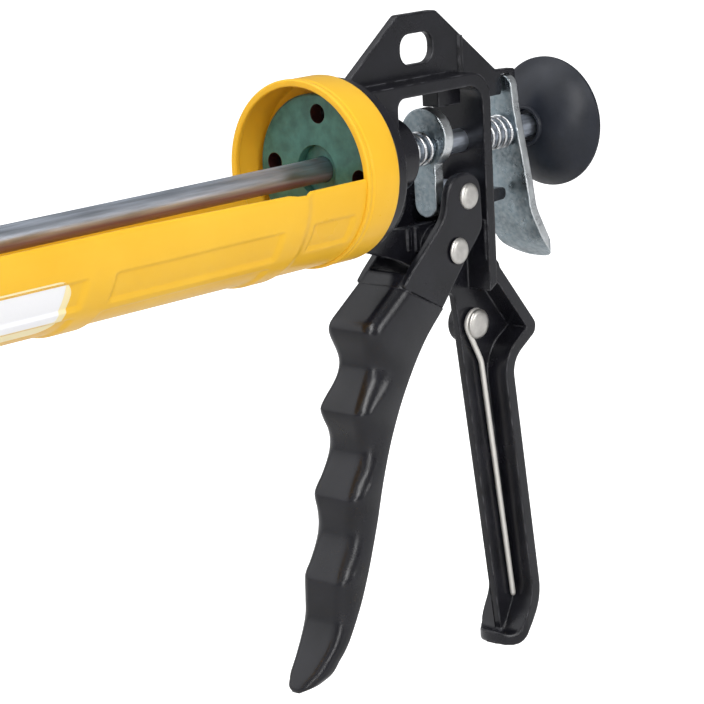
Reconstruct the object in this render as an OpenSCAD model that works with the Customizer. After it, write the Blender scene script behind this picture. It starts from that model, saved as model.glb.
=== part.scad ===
// Caulking gun: swivelling half-round cradle, cast body and handle, sprung trigger,
// friction-plate drive, release lever and push rod.
// Frame: X along the rod towards the user, Y across, Z up. The origin is on the rod axis,
// at the back edge of the cradle's collar.

/* [Cartridge] */
// Outside diameter of the cartridge that the cradle takes
cartridge_d = 50; // [47:0.5:51]
// Length of the cartridge body
cartridge_len = 216; // [190:1:230]
// Width of the slot that the nozzle stands in
nozzle_slot_w = 24; // [18:1:30]

/* [Cradle] */
// Thickness of the cradle's steel sheet
sheet_t = 1.2; // [1:0.1:1.4]
// Radial gap between the cartridge and the narrowest part of the cradle
cartridge_gap = 0.2; // [0.1:0.1:1]
// Length of the closed collar at the back
collar_len = 14; // [10:1:20]
// Length of the narrower waist in front of the collar
waist_len = 23; // [15:1:30]
// Depth of the waist below the full radius
waist_depth = 0.7; // [0.3:0.1:1]
// Depth of the pressed panels
panel_depth = 0.8; // [0.4:0.1:0.9]
// Length of one pressed panel
panel_len = 62; // [40:1:70]
// Length of the full-radius band between panels
band_len = 9; // [6:1:14]
// Depth of the cradle's edges below the level of the rod axis
edge_drop = 0.4; // [0:0.2:2]
// Turn of the cradle on the body, with its open side up at 0
cradle_turn = -5; // [-45:1:45]
// Height of the nose plate's horns above the rod axis
horn_h = 16; // [8:1:22]
// Thickness of the nose plate
nose_t = 1.5; // [1:0.1:2.5]
// Depth of the nose plate's cap over the cradle
cap_depth = 11; // [9:1:16]

/* [Retaining disc] */
// Diameter of the disc that holds the collar on the body
disc_d = 44.6; // [43:0.2:48]
// Thickness of the disc
disc_t = 4.5; // [3:0.5:6]
// Diameter of the four holes in the disc
disc_hole_d = 5.5; // [3:0.5:7]
// Diameter of the circle that the four holes stand on
disc_pcd = 33.4; // [28:0.2:35]
// Diameter of the hole at the disc's centre
disc_bore_d = 15; // [13:0.5:18]
// Turn of the disc about the rod
disc_turn = 5; // [0:1:45]

/* [Push rod] */
// Diameter of the push rod
rod_d = 7.2; // [6:0.2:8]
// Diameter of the piston
piston_d = 44; // [38:0.5:46]
// Diameter of the pull knob's rim
knob_d = 41; // [34:0.2:46]
// Depth of the pull knob from its front collar to its back
knob_len = 20; // [17:1:30]

/* [Body] */
// Width of the body's rim
body_w = 20; // [18:0.5:24]
// Thickness of the body's middle web
web_t = 2.4; // [2:0.2:4]
// Thickness of the rear wall
wall_t = 3.4; // [3:0.2:5]
// Thickness of the roof over the mechanism
roof_t = 3.8; // [3:0.2:5]
// Width of the hanging slot
slot_w = 14.8; // [10:0.2:18]
// Height of the hanging slot
slot_h = 9.2; // [7:0.2:10]

/* [Handle] */
// Width of the handle's rear flange
handle_w = 18; // [16:0.5:22]
// Thickness of the handle's rear flange
flange_t = 3.8; // [3:0.2:5]

/* [Piercing wire] */
// Diameter of the wire that pierces a cartridge's seal
pierce_d = 1.8; // [1.6:0.1:2.2]
// Height of the wire's cut end below the handle's rivet
pierce_drop = 92; // [60:1:92]

/* [Trigger] */
// Outside width of the trigger
trigger_w = 20; // [19:0.5:24]
// Thickness of the trigger's cheeks
cheek_t = 3; // [2:0.2:3.4]
// Thickness of the trigger's front wall
grip_t = 3; // [2:0.2:4]
// Diameter of the rivets' shanks
pin_d = 6; // [5:0.2:6.4]
// Diameter of the rivets' heads
head_d = 8.2; // [7.6:0.2:9]
// Diameter of the drive roller
roller_d = 9; // [8:0.2:10]

/* [Mechanism] */
// Thickness of the drive plate
drive_t = 4; // [3:0.2:5]
// Width of the drive plate's head
drive_w = 17.8; // [16:0.2:19]
// Thickness of the release lever
lever_t = 3.2; // [2.4:0.2:3.6]
// Width of the release lever's thumb tab
tab_w = 19; // [14:0.5:22]
// Outside diameter of the springs
spring_d = 10.8; // [10:0.2:12]
// Diameter of the spring wire
wire_d = 1.2; // [0.8:0.1:1.4]

/* [Hidden] */
$fn = 96;

// Clearances
run_gap = 0.05;      // radial gap of a running fit
part_gap = 0.3;      // gap between pieces that move past each other
seat_gap = 0.05;     // gap of a piece that is staked or riveted in place

// Cradle
seat_r = cartridge_d / 2 + cartridge_gap;
cradle_r = seat_r + panel_depth + sheet_t;
nose_x = -(collar_len + 1 + cartridge_len);
lip_bore_r = 20.9;  // inner radius of the collar's inward lip
waist_end = -(collar_len + waist_len);
rivet_x = nose_x + 6;

// Disc and body front
spigot_r = lip_bore_r - part_gap;
disc_back = -(sheet_t + 2 * part_gap);
disc_front = disc_back - disc_t;
flange_r = cradle_r - 1.4;
flange_back = 4;
hub_r = 11.5;
hub_back = 25.6;
column_back = 18.8;

// Body frame
roof_top = 21.5;
roof_low = roof_top - roof_t;
wall_front = 57.1;
wall_back = wall_front + wall_t;
window_low = -22.5;
plate_top = 40.7;
slot_c = [38, 30.2];

// Pivots in the X-Z plane
pivot = [42.8, -31];
pin_c = [49, -15.3];
handle_rivet_c = [58.2, -57.2];
handle_rivet_half = web_t / 2 + 2 * part_gap + pierce_d;
handle_boss_r = 6;
pivot_boss_r = 7.5;
cheek_in = trigger_w / 2 - cheek_t;

// Drive plate
drive_back = pin_c[0] - roller_d / 2 - part_gap;
drive_front = drive_back - drive_t;
drive_head_z = 3;
finger_w = 8.5;
finger_low = -21.3;

stop_gap = 0.4;  // between the drive plate and the lug that stops it
stop_lug_w = 6.5;
stop_lug_len = 10;

// Release lever
lever_front = 77.2;  // of its front face at the top
lever_top = 17.4;
lever_bend_z = -25;
lever_lean = 2.2;  // of its front face, from the top to the bend
lever_seat = lever_front + lever_lean * (lever_top - spring_d / 2) / (lever_top - lever_bend_z) - 0.05;
lever_bore_r = rod_d / 2 + 0.4;  // room for the lever to tilt on the rod
lever_back = lever_front + lever_t;
tab_reach = 16.2;
stop_tip = lever_front - 1.2;

// Rod
rod_r = rod_d / 2;
rod_bore_r = rod_r + run_gap;
stud_r = 2.6;
backer_t = 2;
backer_r = 12;
piston_t = 2;
nut_t = 4;
rod_tip = nose_x + 2;
stud_back = rod_tip + nut_t + piston_t + backer_t;
knob_front = 88;
knob_back = knob_front + knob_len;

// ---------- shared shapes ----------

function unit(v) = v / norm(v);

// Points of an arc of radius p[2] that rounds the corner p between two neighbours
function corner(before, p, after, n) =
    let (c0 = [p[0], p[1]],
         a = unit([before[0], before[1]] - c0),
         b = unit([after[0], after[1]] - c0),
         half = acos(min(1, max(-1, a * b))) / 2)
    (len(p) < 3 || p[2] <= 0 || half > 89.5) ? [c0] :
    let (r = p[2],
         c = c0 + unit(a + b) * r / sin(half),
         first = c0 + a * r / tan(half) - c,
         last = c0 + b * r / tan(half) - c,
         a0 = atan2(first[1], first[0]),
         turn = ((atan2(last[1], last[0]) - a0 + 540) % 360) - 180)
    [for (i = [0:n]) c + r * [cos(a0 + turn * i / n), sin(a0 + turn * i / n)]];

// Closed outline with each corner [x, y, r] rounded
function rounded(p, n = 6) =
    [for (i = [0:len(p) - 1]) each corner(p[(i + len(p) - 1) % len(p)], p[i], p[(i + 1) % len(p)], n)];

// Open line with its inner corners rounded
function rounded_line(p, n = 6) =
    [for (i = [0:len(p) - 1])
        each (i == 0 || i == len(p) - 1) ? [[p[i][0], p[i][1]]] : corner(p[i - 1], p[i], p[i + 1], n)];

function left_normal(a, b) = let (d = unit([b[0] - a[0], b[1] - a[1]])) [-d[1], d[0]];

// Open line moved sideways by d, with its corner radii changed to stay parallel
function parallel_line(p, d) =
    [for (i = [0:len(p) - 1])
        let (n1 = i == 0 ? left_normal(p[0], p[1]) : left_normal(p[i - 1], p[i]),
             n2 = i == len(p) - 1 ? n1 : left_normal(p[i], p[i + 1]),
             m = (n1 + n2) / (1 + n1 * n2),
             side = n1[0] * n2[1] - n1[1] * n2[0],
             r = len(p[i]) < 3 ? 0 : p[i][2])
        [p[i][0] + d * m[0], p[i][1] + d * m[1], r == 0 ? 0 : max(0.2, side > 0 ? r - d : r + d)]];

function reversed(p) = [for (i = [len(p) - 1:-1:0]) p[i]];

// Strip of thickness d along an open line
module strip(p, d) {
    polygon(concat(rounded_line(p), reversed(rounded_line(parallel_line(p, d)))));
}

// Outline in X-Z made w wide, centred on the rod's plane
module plate_y(w) {
    rotate([90, 0, 0])
        linear_extrude(height = w, center = true)
            children();
}

// Cylinder across the body at c = [x, z]
module cross_pin(c, r, w) {
    translate([c[0], 0, c[1]])
        rotate([90, 0, 0])
            cylinder(h = w, r = r, center = true);
}

// Cylinder along the rod axis
module along_x(x0, x1, r) {
    translate([x0, 0, 0])
        rotate([0, 90, 0])
            cylinder(h = x1 - x0, r = r);
}

// Outline of [x, radius] points turned about the rod axis; 0 is straight down, 90 is the far side
module turned(p, from = 0, sweep = 360) {
    rotate([0, 90, 0])
        rotate([0, 0, from])
            rotate_extrude(angle = sweep)
                polygon([for (q = p) [q[1], q[0]]]);
}

// Solid rivet across the body: shank and two low domed heads
module rivet(c, shank_r, head_r, grip, head_t) {
    dome = [for (a = [0:18:90]) [head_r * cos(a) * (0.72 + 0.28 * cos(a)), grip / 2 + head_t * sin(a)]];
    translate([c[0], 0, c[1]])
        rotate([90, 0, 0])
            rotate_extrude()
                polygon(concat([[0, -grip / 2 - head_t]], reversed([for (q = dome) [q[0], -q[1]]]),
                               [[shank_r, -grip / 2], [shank_r, grip / 2]], dome, [[0, grip / 2 + head_t]]));
}

// ---------- cradle ----------

// Starts of the pressed panels along X, from the waist forwards
panel_starts = [for (x = [waist_end - band_len:-(panel_len + band_len):nose_x + cap_depth + 20]) x];
panel_slope = 3;
bottom_half = 38;
flank_mid = 56;
flank_half = 10;

function panel_end(x) = max(x - panel_len, nose_x + cap_depth + 5);

// Wedge that presses one panel into a surface of radius r, grown by g on its sides and ends
module panel_cut(x_back, x_front, r, mid, half, g) {
    out = 2;
    run = panel_slope / panel_depth * out;
    span = half + asin(g / r);
    turned([[x_front - g / 2 - run, r + out], [x_front - g / 2 + panel_slope, r - panel_depth],
            [x_back + g / 2 - panel_slope, r - panel_depth], [x_back + g / 2 + run, r + out]],
           mid - span, 2 * span);
}

// Solid form of the trough: d is 0 outside and the sheet's thickness inside
module trough_form(d) {
    r = cradle_r - d;
    half = 93 + d;
    difference() {
        turned([[nose_x + nose_t - d, 0], [nose_x + nose_t - d, r], [waist_end - 1.5, r],
                [waist_end + 1.5, r - waist_depth], [-collar_len + 1 + d, r - waist_depth],
                [-collar_len + 1 + d, 0]], -half, 2 * half);
        for (x = panel_starts) {
            panel_cut(x, panel_end(x), r, 0, bottom_half, d);
            for (side = [-1, 1])
                panel_cut(x, panel_end(x), r, side * flank_mid, flank_half, d);
        }
        for (side = [-1, 1])
            panel_cut(-collar_len - 3, waist_end + 3, r - waist_depth, side * flank_mid, flank_half, d);
    }
}

// Side view of what is cut away above the trough's edges
module above_edges() {
    low = -edge_drop;
    polygon([[nose_x - 1, 40], [nose_x - 1, low], [waist_end - 70, low], [waist_end - 17, low - 0.9],
             [waist_end - 8, low - 1.1], [waist_end - 4.5, low - 1.9], [waist_end - 1.1, low - 2],
             [waist_end + 0.8, low - 1.2], [-collar_len + 0.6, low - 1.2], [-collar_len + 0.6, 40]]);
}

module collar() {
    bead_in = seat_r;
    front = -collar_len;
    turned([[front, bead_in], [front, cradle_r - 0.3], [front + 0.5, cradle_r + 0.2],
            [front + 1.4, cradle_r + 0.2], [front + 2, cradle_r], [0, cradle_r], [0, lip_bore_r],
            [-sheet_t, lip_bore_r], [-sheet_t, cradle_r - sheet_t], [front + 2.4, cradle_r - sheet_t],
            [front + 1.6, bead_in]]);
}

module cradle() {
    color("gold")
    rotate([cradle_turn, 0, 0])
        difference() {
            union() {
                difference() {
                    trough_form(0);
                    trough_form(sheet_t);
                    plate_y(3 * cradle_r)
                        above_edges();
                }
                collar();
            }
            nose_rivet_bores();
        }
}

// ---------- nose plate ----------

nose_rivet_turns = [-70, 0, 70];
nose_rivet_r = 1.6;
nose_rivet_head_r = 2.6;
nose_rivet_reach = 8;

module at_nose_rivets() {
    for (a = nose_rivet_turns)
        rotate([a, 0, 0])
            translate([rivet_x, 0, 0])
                children();
}

module nose_rivet_bores() {
    at_nose_rivets()
        translate([0, 0, -cradle_r - nose_rivet_reach / 2])
            cylinder(h = nose_rivet_reach, r = nose_rivet_r + seat_gap);
}

module nose_plate() {
    cap_r = cradle_r + seat_gap;
    out_r = cap_r + nose_t;
    color("gold")
    rotate([cradle_turn, 0, 0])
        difference() {
            turned([[nose_x - nose_t, 0], [nose_x - nose_t, out_r - 1], [nose_x - nose_t + 1, out_r],
                    [nose_x + cap_depth, out_r], [nose_x + cap_depth, cap_r], [nose_x, cap_r], [nose_x, 0]]);
            translate([nose_x - nose_t - 1, -out_r - 1, horn_h])
                cube([nose_t + cap_depth + 2, 2 * out_r + 2, out_r]);
            translate([nose_x, -out_r - 1, -edge_drop])
                cube([cap_depth + 1, 2 * out_r + 2, out_r]);
            along_x(nose_x - nose_t - 1, nose_x + 1, nozzle_slot_w / 2);
            translate([nose_x - nose_t - 1, -nozzle_slot_w / 2, 0])
                cube([nose_t + 2, nozzle_slot_w, out_r]);
            nose_rivet_bores();
        }
}

module nose_rivets() {
    skin = cradle_r - sheet_t;
    // The inner head's rim meets the curved skin
    inner = sqrt(skin * skin - nose_rivet_head_r * nose_rivet_head_r) - seat_gap;
    outer = cradle_r + seat_gap + nose_t;
    color("silver")
    rotate([cradle_turn, 0, 0])
        at_nose_rivets()
            mirror([0, 0, 1])
                rotate_extrude($fn = 32)
                    polygon([[0, inner - 0.6], [2.2, inner - 0.6], [nose_rivet_head_r, inner],
                             [nose_rivet_r, inner], [nose_rivet_r, outer + 0.05], [3, outer + 0.05],
                             [2.4, outer + 0.8], [1.2, outer + 1.15], [0, outer + 1.2]]);
}

// ---------- retaining disc ----------

module retaining_disc() {
    color("seagreen")
    difference() {
        turned([[disc_back, 0], [disc_back, disc_d / 2], [disc_front + 0.5, disc_d / 2],
                [disc_front, disc_d / 2 - 0.5], [disc_front, 0]]);
        along_x(disc_front - 1, disc_back + 1, disc_bore_d / 2);
        for (i = [0:3])
            rotate([disc_turn + 90 * i, 0, 0])
                translate([0, 0, disc_pcd / 2])
                    along_x(disc_front - 1, disc_back + 1, disc_hole_d / 2);
    }
}

// ---------- body and handle ----------

// Back line of the handle, from the rear wall over the hump and round the toe
back_line = [[wall_back, -24], [wall_back, -36.4, 7], [81, -62, 3.2], [67.6, -70.2, 8],
             [77.4, -149.5, 16], [68, -165.6, 7], [60.4, -162.2]];
toe_c = 71;

module handle_flange() {
    plate_y(handle_w)
        strip(back_line, -flange_t);
}

// Hanging plate above the roof, with the hook that the release lever hangs in
module hanging_plate() {
    difference() {
        polygon(rounded([[4.8, roof_low], [4.8, 21.9], [30.2, plate_top, 3], [47, plate_top, 3],
                         [74.2, 19.4, 2], [lever_back + 2.8, 19, 1], [lever_back + 2.8, 13.6, 0.8],
                         [lever_back + 0.6, 13.6, 0.5], [lever_back + 0.6, lever_top + 0.4],
                         [lever_front - 0.8, lever_top + 0.4], [lever_front - 0.8, 11.6, 1],
                         [wall_front, 11.6]]));
        translate(slot_c)
            polygon(rounded([for (q = [[-1, -1], [1, -1], [1, 1], [-1, 1]])
                             [q[0] * slot_w / 2, q[1] * slot_h / 2, 4]]));
        translate([0, roof_low - 30])
            square([wall_front, 30]);
    }
}

// Middle web below the window and down the handle
module lower_web() {
    polygon(rounded([[2, -24], [15.7, -28.4, 20], [25.3, -31.7, 20], [43, -41, 12], [50.6, -47.4, 1.5],
                     [66.4, -162], [71, -160, 6], [75.6, -148, 10], [66, -70.5, 6], [78, -61.2, 4],
                     [72, -40.5, 4], [wall_back - 1, -28], [wall_back - 1, window_low],
                     [24, window_low, 4], [16, -16], [2, -16]]));
}

module rib(x, z0, z1) {
    translate([x - 0.8, -web_t / 2 - 0.6, z0])
        cube([1.6, web_t + 1.2, z1 - z0]);
}

module body_frame() {
    color([0.09, 0.09, 0.1])
    difference() {
        union() {
            along_x(part_gap, flange_back, flange_r);
            along_x(disc_back, part_gap + 0.1, spigot_r);
            along_x(disc_back - 1.5, disc_back + 0.1, disc_bore_d / 2 - seat_gap);
            along_x(flange_back - 1, hub_back, hub_r);
            plate_y(body_w)
                polygon(rounded([[flange_back - 1, -19], [flange_back - 1, roof_top],
                                 [wall_back, roof_top, 8], [wall_back, -44], [wall_front, -46],
                                 [wall_front, roof_low, 6], [column_back, roof_low, 3],
                                 [column_back, -13, 4], [11, -20.5, 4]]));
            plate_y(web_t) {
                hanging_plate();
                lower_web();
            }
            intersection() {
                handle_flange();
                union() {
                    translate([0, -handle_w, -140])
                        cube([200, 2 * handle_w, 140]);
                    translate([0, 0, -200])
                        linear_extrude(height = 60.01)
                            union() {
                                translate([toe_c, 0])
                                    circle(r = handle_w / 2);
                                translate([toe_c, -handle_w / 2])
                                    square([40, handle_w]);
                            }
                }
            }
            plate_y(web_t + 1.2)
                polygon(rounded([[wall_back - 1, -16.6], [stop_tip, -17.2, 1.6], [stop_tip, -20.8, 1.6],
                                 [wall_back - 1, -21.6]]));
            cross_pin(pivot, pivot_boss_r, 2 * (cheek_in - part_gap));
            translate([0, handle_rivet_half / 2, 0])
                cross_pin(handle_rivet_c, handle_boss_r, handle_rivet_half);
            translate([drive_back + stop_gap, -stop_lug_w / 2, drive_head_z + drive_w / 2 - 0.1])
                cube([stop_lug_len, stop_lug_w, roof_top - drive_head_z - drive_w / 2 - 1]);
            rib(57.5, roof_top - 1, 32);
            rib(30.4, -29.6, window_low - 0.5);
            rib(34, -30.4, window_low - 0.5);
            rib(68.2, -41.5, -37);
        }
        along_x(disc_back - 3, 70, rod_bore_r);
        cross_pin(pivot, pin_d / 2 + seat_gap, body_w + 2);
        cross_pin(handle_rivet_c, pin_d / 2 + seat_gap, body_w + 2);
    }
}

module handle_rivet() {
    color("silver")
    rivet(handle_rivet_c, pin_d / 2, head_d / 2 + 0.6, 2 * handle_rivet_half, 1.2);
}

// ---------- piercing wire ----------

// Straight stretch of the wire from p to q, let into the bends at its ends
module wire_run(p, q) {
    d = q - p;
    lap = 0.06;
    translate([p[0], p[1], 0])
        rotate([0, 0, atan2(d[1], d[0])])
            rotate([0, 90, 0])
                translate([0, 0, -lap])
                    cylinder(h = norm(d) + 2 * lap, r = pierce_d / 2 - 0.012);
}

// Bend of the wire round o, from angle a0 through turn
module wire_bend(o, r, a0, turn) {
    translate([o[0], o[1], 0])
        rotate([0, 0, a0])
            rotate_extrude(angle = turn)
                translate([r, 0])
                    circle(r = pierce_d / 2);
}

// Eye round the rivet, a short slanting run, one bend, and the long run down the handle's channel
module piercing_wire() {
    eye_r = pin_d / 2 + run_gap + pierce_d / 2;
    bend_r = 8;
    knee = handle_rivet_c + [2, -12.3];
    tip = knee + (pierce_drop - 12.3) * [0.14, -1];
    to_knee = knee - handle_rivet_c;
    leave = atan2(to_knee[1], to_knee[0]) - acos(eye_r / norm(to_knee));
    start = handle_rivet_c + eye_r * [cos(leave), sin(leave)];
    a = unit(knee - start);
    b = unit(tip - knee);
    turn = acos(a * b);
    back = bend_r * tan(turn / 2);
    first = knee - a * back;
    last = knee + b * back;
    o = first + bend_r * [-a[1], a[0]] * sign(a[0] * b[1] - a[1] * b[0]);
    first_a = atan2(first[1] - o[1], first[0] - o[0]);
    last_a = atan2(last[1] - o[1], last[0] - o[0]);
    color("silver")
    translate([0, -(web_t / 2 + part_gap + pierce_d / 2), 0])
        rotate([90, 0, 0]) {
            wire_bend(handle_rivet_c, eye_r, leave - 290, 290);
            wire_run(start, first);
            wire_bend(o, bend_r, min(first_a, last_a), turn);
            wire_run(last, tip);
        }
}

// ---------- push rod, piston and knob ----------

module push_rod() {
    color("dimgray")
    turned([[rod_tip, 0], [rod_tip, stud_r - 0.5], [rod_tip + 0.5, stud_r], [stud_back, stud_r],
            [stud_back, rod_r],
            [knob_back - 6.3, rod_r], [knob_back - 6.3, 0]]);
}

module piston_plate() {
    x1 = stud_back - backer_t;
    x0 = x1 - piston_t;
    r = piston_d / 2;
    color("silver")
    turned([[x0, stud_r + seat_gap], [x0, r - 4], [x0 + 3.4, r - 0.6], [x0 + 3.4 + piston_t * 0.6, r],
            [x1 + 3.6, r - 1.6], [x1, r - 5], [x1, stud_r + seat_gap]]);
}

module piston_backer() {
    color("darkgray")
    turned([[stud_back - backer_t, stud_r + seat_gap], [stud_back - backer_t, backer_r],
            [stud_back - 0.4, backer_r], [stud_back, backer_r - 0.4], [stud_back, stud_r + seat_gap]]);
}

module piston_nut() {
    color("silver")
    difference() {
        translate([rod_tip, 0, 0])
            rotate([0, 90, 0])
                cylinder(h = nut_t, d = 9.2, $fn = 6);
        along_x(rod_tip - 1, rod_tip + nut_t + 1, stud_r + seat_gap);
    }
}

module knob() {
    r = knob_d / 2;
    rim_x = knob_front + 12;
    flare = [for (u = [0:0.125:1]) [knob_front + 1.2 + (rim_x - knob_front - 1.9) * u,
                                    6.4 + (r - 6.9) * (0.6 * u + 0.4 * sin(90 * u))]];
    cap_h = knob_back - rim_x - 1.2;
    cap_r = ((r - 0.4) * (r - 0.4) + cap_h * cap_h) / (2 * cap_h);
    cap_a = asin((r - 0.4) / cap_r);
    dome = [for (i = [0:8]) let (a = cap_a * (1 - i / 8)) [knob_back - cap_r * (1 - cos(a)), cap_r * sin(a)]];
    color([0.12, 0.12, 0.13])
    turned(concat([[knob_front + 3, rod_r], [knob_front + 3, 5], [knob_front, 5.4], [knob_front, 6.2]], flare,
                  [[rim_x, r], [rim_x + 0.8, r]], dome,
                  [[knob_back - 6.3, 0], [knob_back - 6.3, rod_r]]));
}

// ---------- drive ----------

module drive_plate() {
    head_r = drive_w / 2;
    color("lightsteelblue")
    difference() {
        translate([drive_front, 0, 0])
            rotate([90, 0, 90])
                linear_extrude(height = drive_t)
                    union() {
                        translate([0, drive_head_z])
                            circle(r = head_r);
                        polygon(rounded([[-finger_w / 2, finger_low, finger_w / 2 - 0.1],
                                         [finger_w / 2, finger_low, finger_w / 2 - 0.1],
                                         [finger_w / 2, -4.2, 2], [6.4, -2.2], [-6.4, -2.2],
                                         [-finger_w / 2, -4.2, 2]]));
                    }
        along_x(drive_front - 1, drive_back + 1, rod_bore_r);
    }
}

// Helix of round wire about the rod with flat-wound ends
module coil(x0, x1, turns, sides = 8, steps = 14) {
    n = turns * steps;
    coil_r = (spring_d - wire_d) / 2;
    w = wire_d / 2;
    pitch = (x1 - x0 - wire_d - 2 * w) / (turns - 1);
    function along(i) = let (t = i / steps) x0 + w + (t < 0.5 ? t * wire_d :
        t > turns - 0.5 ? (turns - 1) * pitch + wire_d * (t - turns + 1) : wire_d / 2 + (t - 0.5) * pitch);
    points = [for (i = [0:n]) for (k = [0:sides - 1])
        let (a = 360 * i / steps, b = 360 * k / sides, r = coil_r + w * cos(b))
        [along(i) + w * sin(b), r * cos(a), r * sin(a)]];
    faces = concat([[for (k = [0:sides - 1]) k]],
        [for (i = [0:n - 1]) for (k = [0:sides - 1]) let (j = (k + 1) % sides)
            [i * sides + k, (i + 1) * sides + k, (i + 1) * sides + j, i * sides + j]],
        [[for (k = [sides - 1:-1:0]) n * sides + k]]);
    polyhedron(points, faces);
}

module drive_spring() {
    color("silver")
    coil(hub_back, drive_front, 5);
}

module release_spring() {
    color("silver")
    coil(wall_back, lever_seat, 6);
}

// ---------- release lever ----------

module release_lever() {
    tip_x = lever_front + tab_reach;
    plan_half = tab_w / 2 + 0.05;
    color("lightsteelblue")
    difference() {
        intersection() {
            plate_y(tab_w + 4)
                strip([[lever_front, lever_top], [lever_front + lever_lean, lever_bend_z, 16],
                       [lever_front + 7, lever_bend_z - 11, 16], [tip_x, -42.4]], lever_t);
            rotate([90, 0, 90])
                linear_extrude(height = 200)
                    polygon(rounded([[-4, lever_top, 3.4], [4, lever_top, 3.4], [4.6, 7, 10],
                                     [tab_w / 2 - 1.6, -16, 16], [tab_w / 2, -32, 10], [tab_w / 2, -45],
                                     [-tab_w / 2, -45], [-tab_w / 2, -32, 10], [1.6 - tab_w / 2, -16, 16],
                                     [-4.6, 7, 10]]));
            translate([0, 0, -60])
                linear_extrude(height = 100)
                    polygon(rounded([[0, -30], [lever_front + 3, -30], [lever_front + 3, -plan_half],
                                     [tip_x - 0.5, -plan_half, 8], [tip_x - 0.5, plan_half, 8],
                                     [lever_front + 3, plan_half], [lever_front + 3, 30], [0, 30]]));
        }
        along_x(lever_front - 5, lever_front + 20, lever_bore_r);
    }
}

// ---------- trigger ----------

// Front crests of the finger grip as [z, x], and the depth of the hollow below each
crests = [[-49, 2.6], [-72.5, -2.9], [-97.5, -7.5], [-121.5, -14]];
hollows = [4.7, 4.7, 3];
crest_soft = 0.24;  // share of the shoulder that curves into the first crest
tip_table = [[-115, -12.6], [-121.5, -14], [-128, -14.6], [-134.5, -15.6], [-140.5, -18.6], [-146, -23.2],
             [-149.2, -26.4], [-151.2, -27.9], [-152.4, -27.6]];
grip_top = [-34.8, 20.6];
cheek_neck = [38, -20.2];
grip_end = -152.4;

// Smooth value of a table of [z, value] pairs with falling z
function eased(t, z, i = 0) =
    z >= t[0][0] ? t[0][1] :
    (i >= len(t) - 1) ? t[len(t) - 1][1] :
    z < t[i + 1][0] ? eased(t, z, i + 1) :
    let (a = t[max(0, i - 1)], b = t[i], c = t[i + 1], d = t[min(len(t) - 1, i + 2)],
         h = c[0] - b[0], u = (z - b[0]) / h,
         m0 = (c[1] - a[1]) / (c[0] - a[0]) * h, m1 = (d[1] - b[1]) / (d[0] - b[0]) * h)
    (2 * u ^ 3 - 3 * u ^ 2 + 1) * b[1] + (u ^ 3 - 2 * u ^ 2 + u) * m0
        + (3 * u ^ 2 - 2 * u ^ 3) * c[1] + (u ^ 3 - u ^ 2) * m1;

function crest_index(z, i = 0) = (i >= len(hollows) - 1 || z >= crests[i + 1][0]) ? i : crest_index(z, i + 1);

function grip_front(z) =
    z > crests[0][0] ?
        let (u = (z - crests[0][0]) / (grip_top[0] - crests[0][0]))
        crests[0][1] + (grip_top[1] - crests[0][1])
            * (u < crest_soft ? u * u / crest_soft / 2 : u - crest_soft / 2) / (1 - crest_soft / 2) :
        z < crests[3][0] ? eased(tip_table, z) :
        let (i = crest_index(z), u = (crests[i][0] - z) / (crests[i][0] - crests[i + 1][0]))
        crests[i][1] + (crests[i + 1][1] - crests[i][1]) * u + hollows[i] * pow(sin(180 * u), 1.5);

rear_table = [[-34.8, 46.8], [-42.6, 40.5], [-55.6, 26.6], [-67.8, 17.6], [-81.2, 10.3], [-94.2, 5.4],
              [-106.6, 1.9], [-122.2, -3.4], [-135, -8.9], [-144.5, -14.6], [-149.6, -19.2], [-151.3, -22.6],
              [-152.4, -27]];
width_table = [[-34.8, 1], [-60, 0.99], [-110, 0.95], [-132, 0.88], [-144, 0.74], [-149.6, 0.54],
               [-151.4, 0.38], [-152.4, 0.2]];

function grip_half(z) = trigger_w / 2 * eased(width_table, z);

// One level of the grip: flat at the back, round at the two front corners
function grip_ring(z, n = 4) =
    let (x0 = grip_front(z), x1 = eased(rear_table, z), h = grip_half(z),
         r = min(4.6, 0.48 * (x1 - x0), 0.8 * h), e = min(0.7, 0.1 * (x1 - x0)))
    concat([[x1, -h + e, z], [x1 - e, -h, z]],
           [for (i = [0:n]) [x0 + r - r * sin(90 * i / n), -h + r - r * cos(90 * i / n), z]],
           [for (i = [n:-1:0]) [x0 + r - r * sin(90 * i / n), h - r + r * cos(90 * i / n), z]],
           [[x1 - e, h, z], [x1, h - e, z]]);

grip_levels = concat([for (z = [grip_top[0]:-2.4:-146]) z], [-148, -149.6, -150.8, -151.7, grip_end]);

module grip_form() {
    rings = [for (z = grip_levels) grip_ring(z)];
    m = len(rings[0]);
    n = len(rings);
    polyhedron([for (ring = rings) each ring],
        concat([[for (k = [0:m - 1]) k]],
               [for (i = [0:n - 2]) for (k = [0:m - 1])
                   [i * m + k, (i + 1) * m + k, (i + 1) * m + (k + 1) % m, i * m + (k + 1) % m]],
               [[for (k = [m - 1:-1:0]) (n - 1) * m + k]]));
}

module cheek_outline() {
    polygon(rounded([[pin_c[0] - 8.6, pin_c[1] + 7, 8], [pin_c[0] + 5.8, pin_c[1] + 7.4, 6.4],
                     [55.4, -26, 6], [46.8, grip_top[0]], [44.6, -37.5], [20.6, -36.4],
                     [grip_top[1], grip_top[0]], [cheek_neck[0], cheek_neck[1], 9]]));
}

module trigger() {
    low = -138;
    pocket = concat([for (z = [grip_top[0] + 2:-2:low]) [grip_front(min(z, grip_top[0])) + grip_t, z]],
                    [[80, low], [80, grip_top[0] + 2]]);
    color([0.1, 0.1, 0.11])
    difference() {
        union() {
            grip_form();
            plate_y(trigger_w)
                cheek_outline();
        }
        plate_y(2 * cheek_in)
            union() {
                polygon(pocket);
                translate([grip_top[1] - 0.6, grip_top[0]])
                    square(3 * trigger_w);
            }
        cross_pin(pivot, pin_d / 2 + run_gap, trigger_w + 2);
        cross_pin(pin_c, pin_d / 2 + seat_gap, trigger_w + 2);
    }
}

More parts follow.
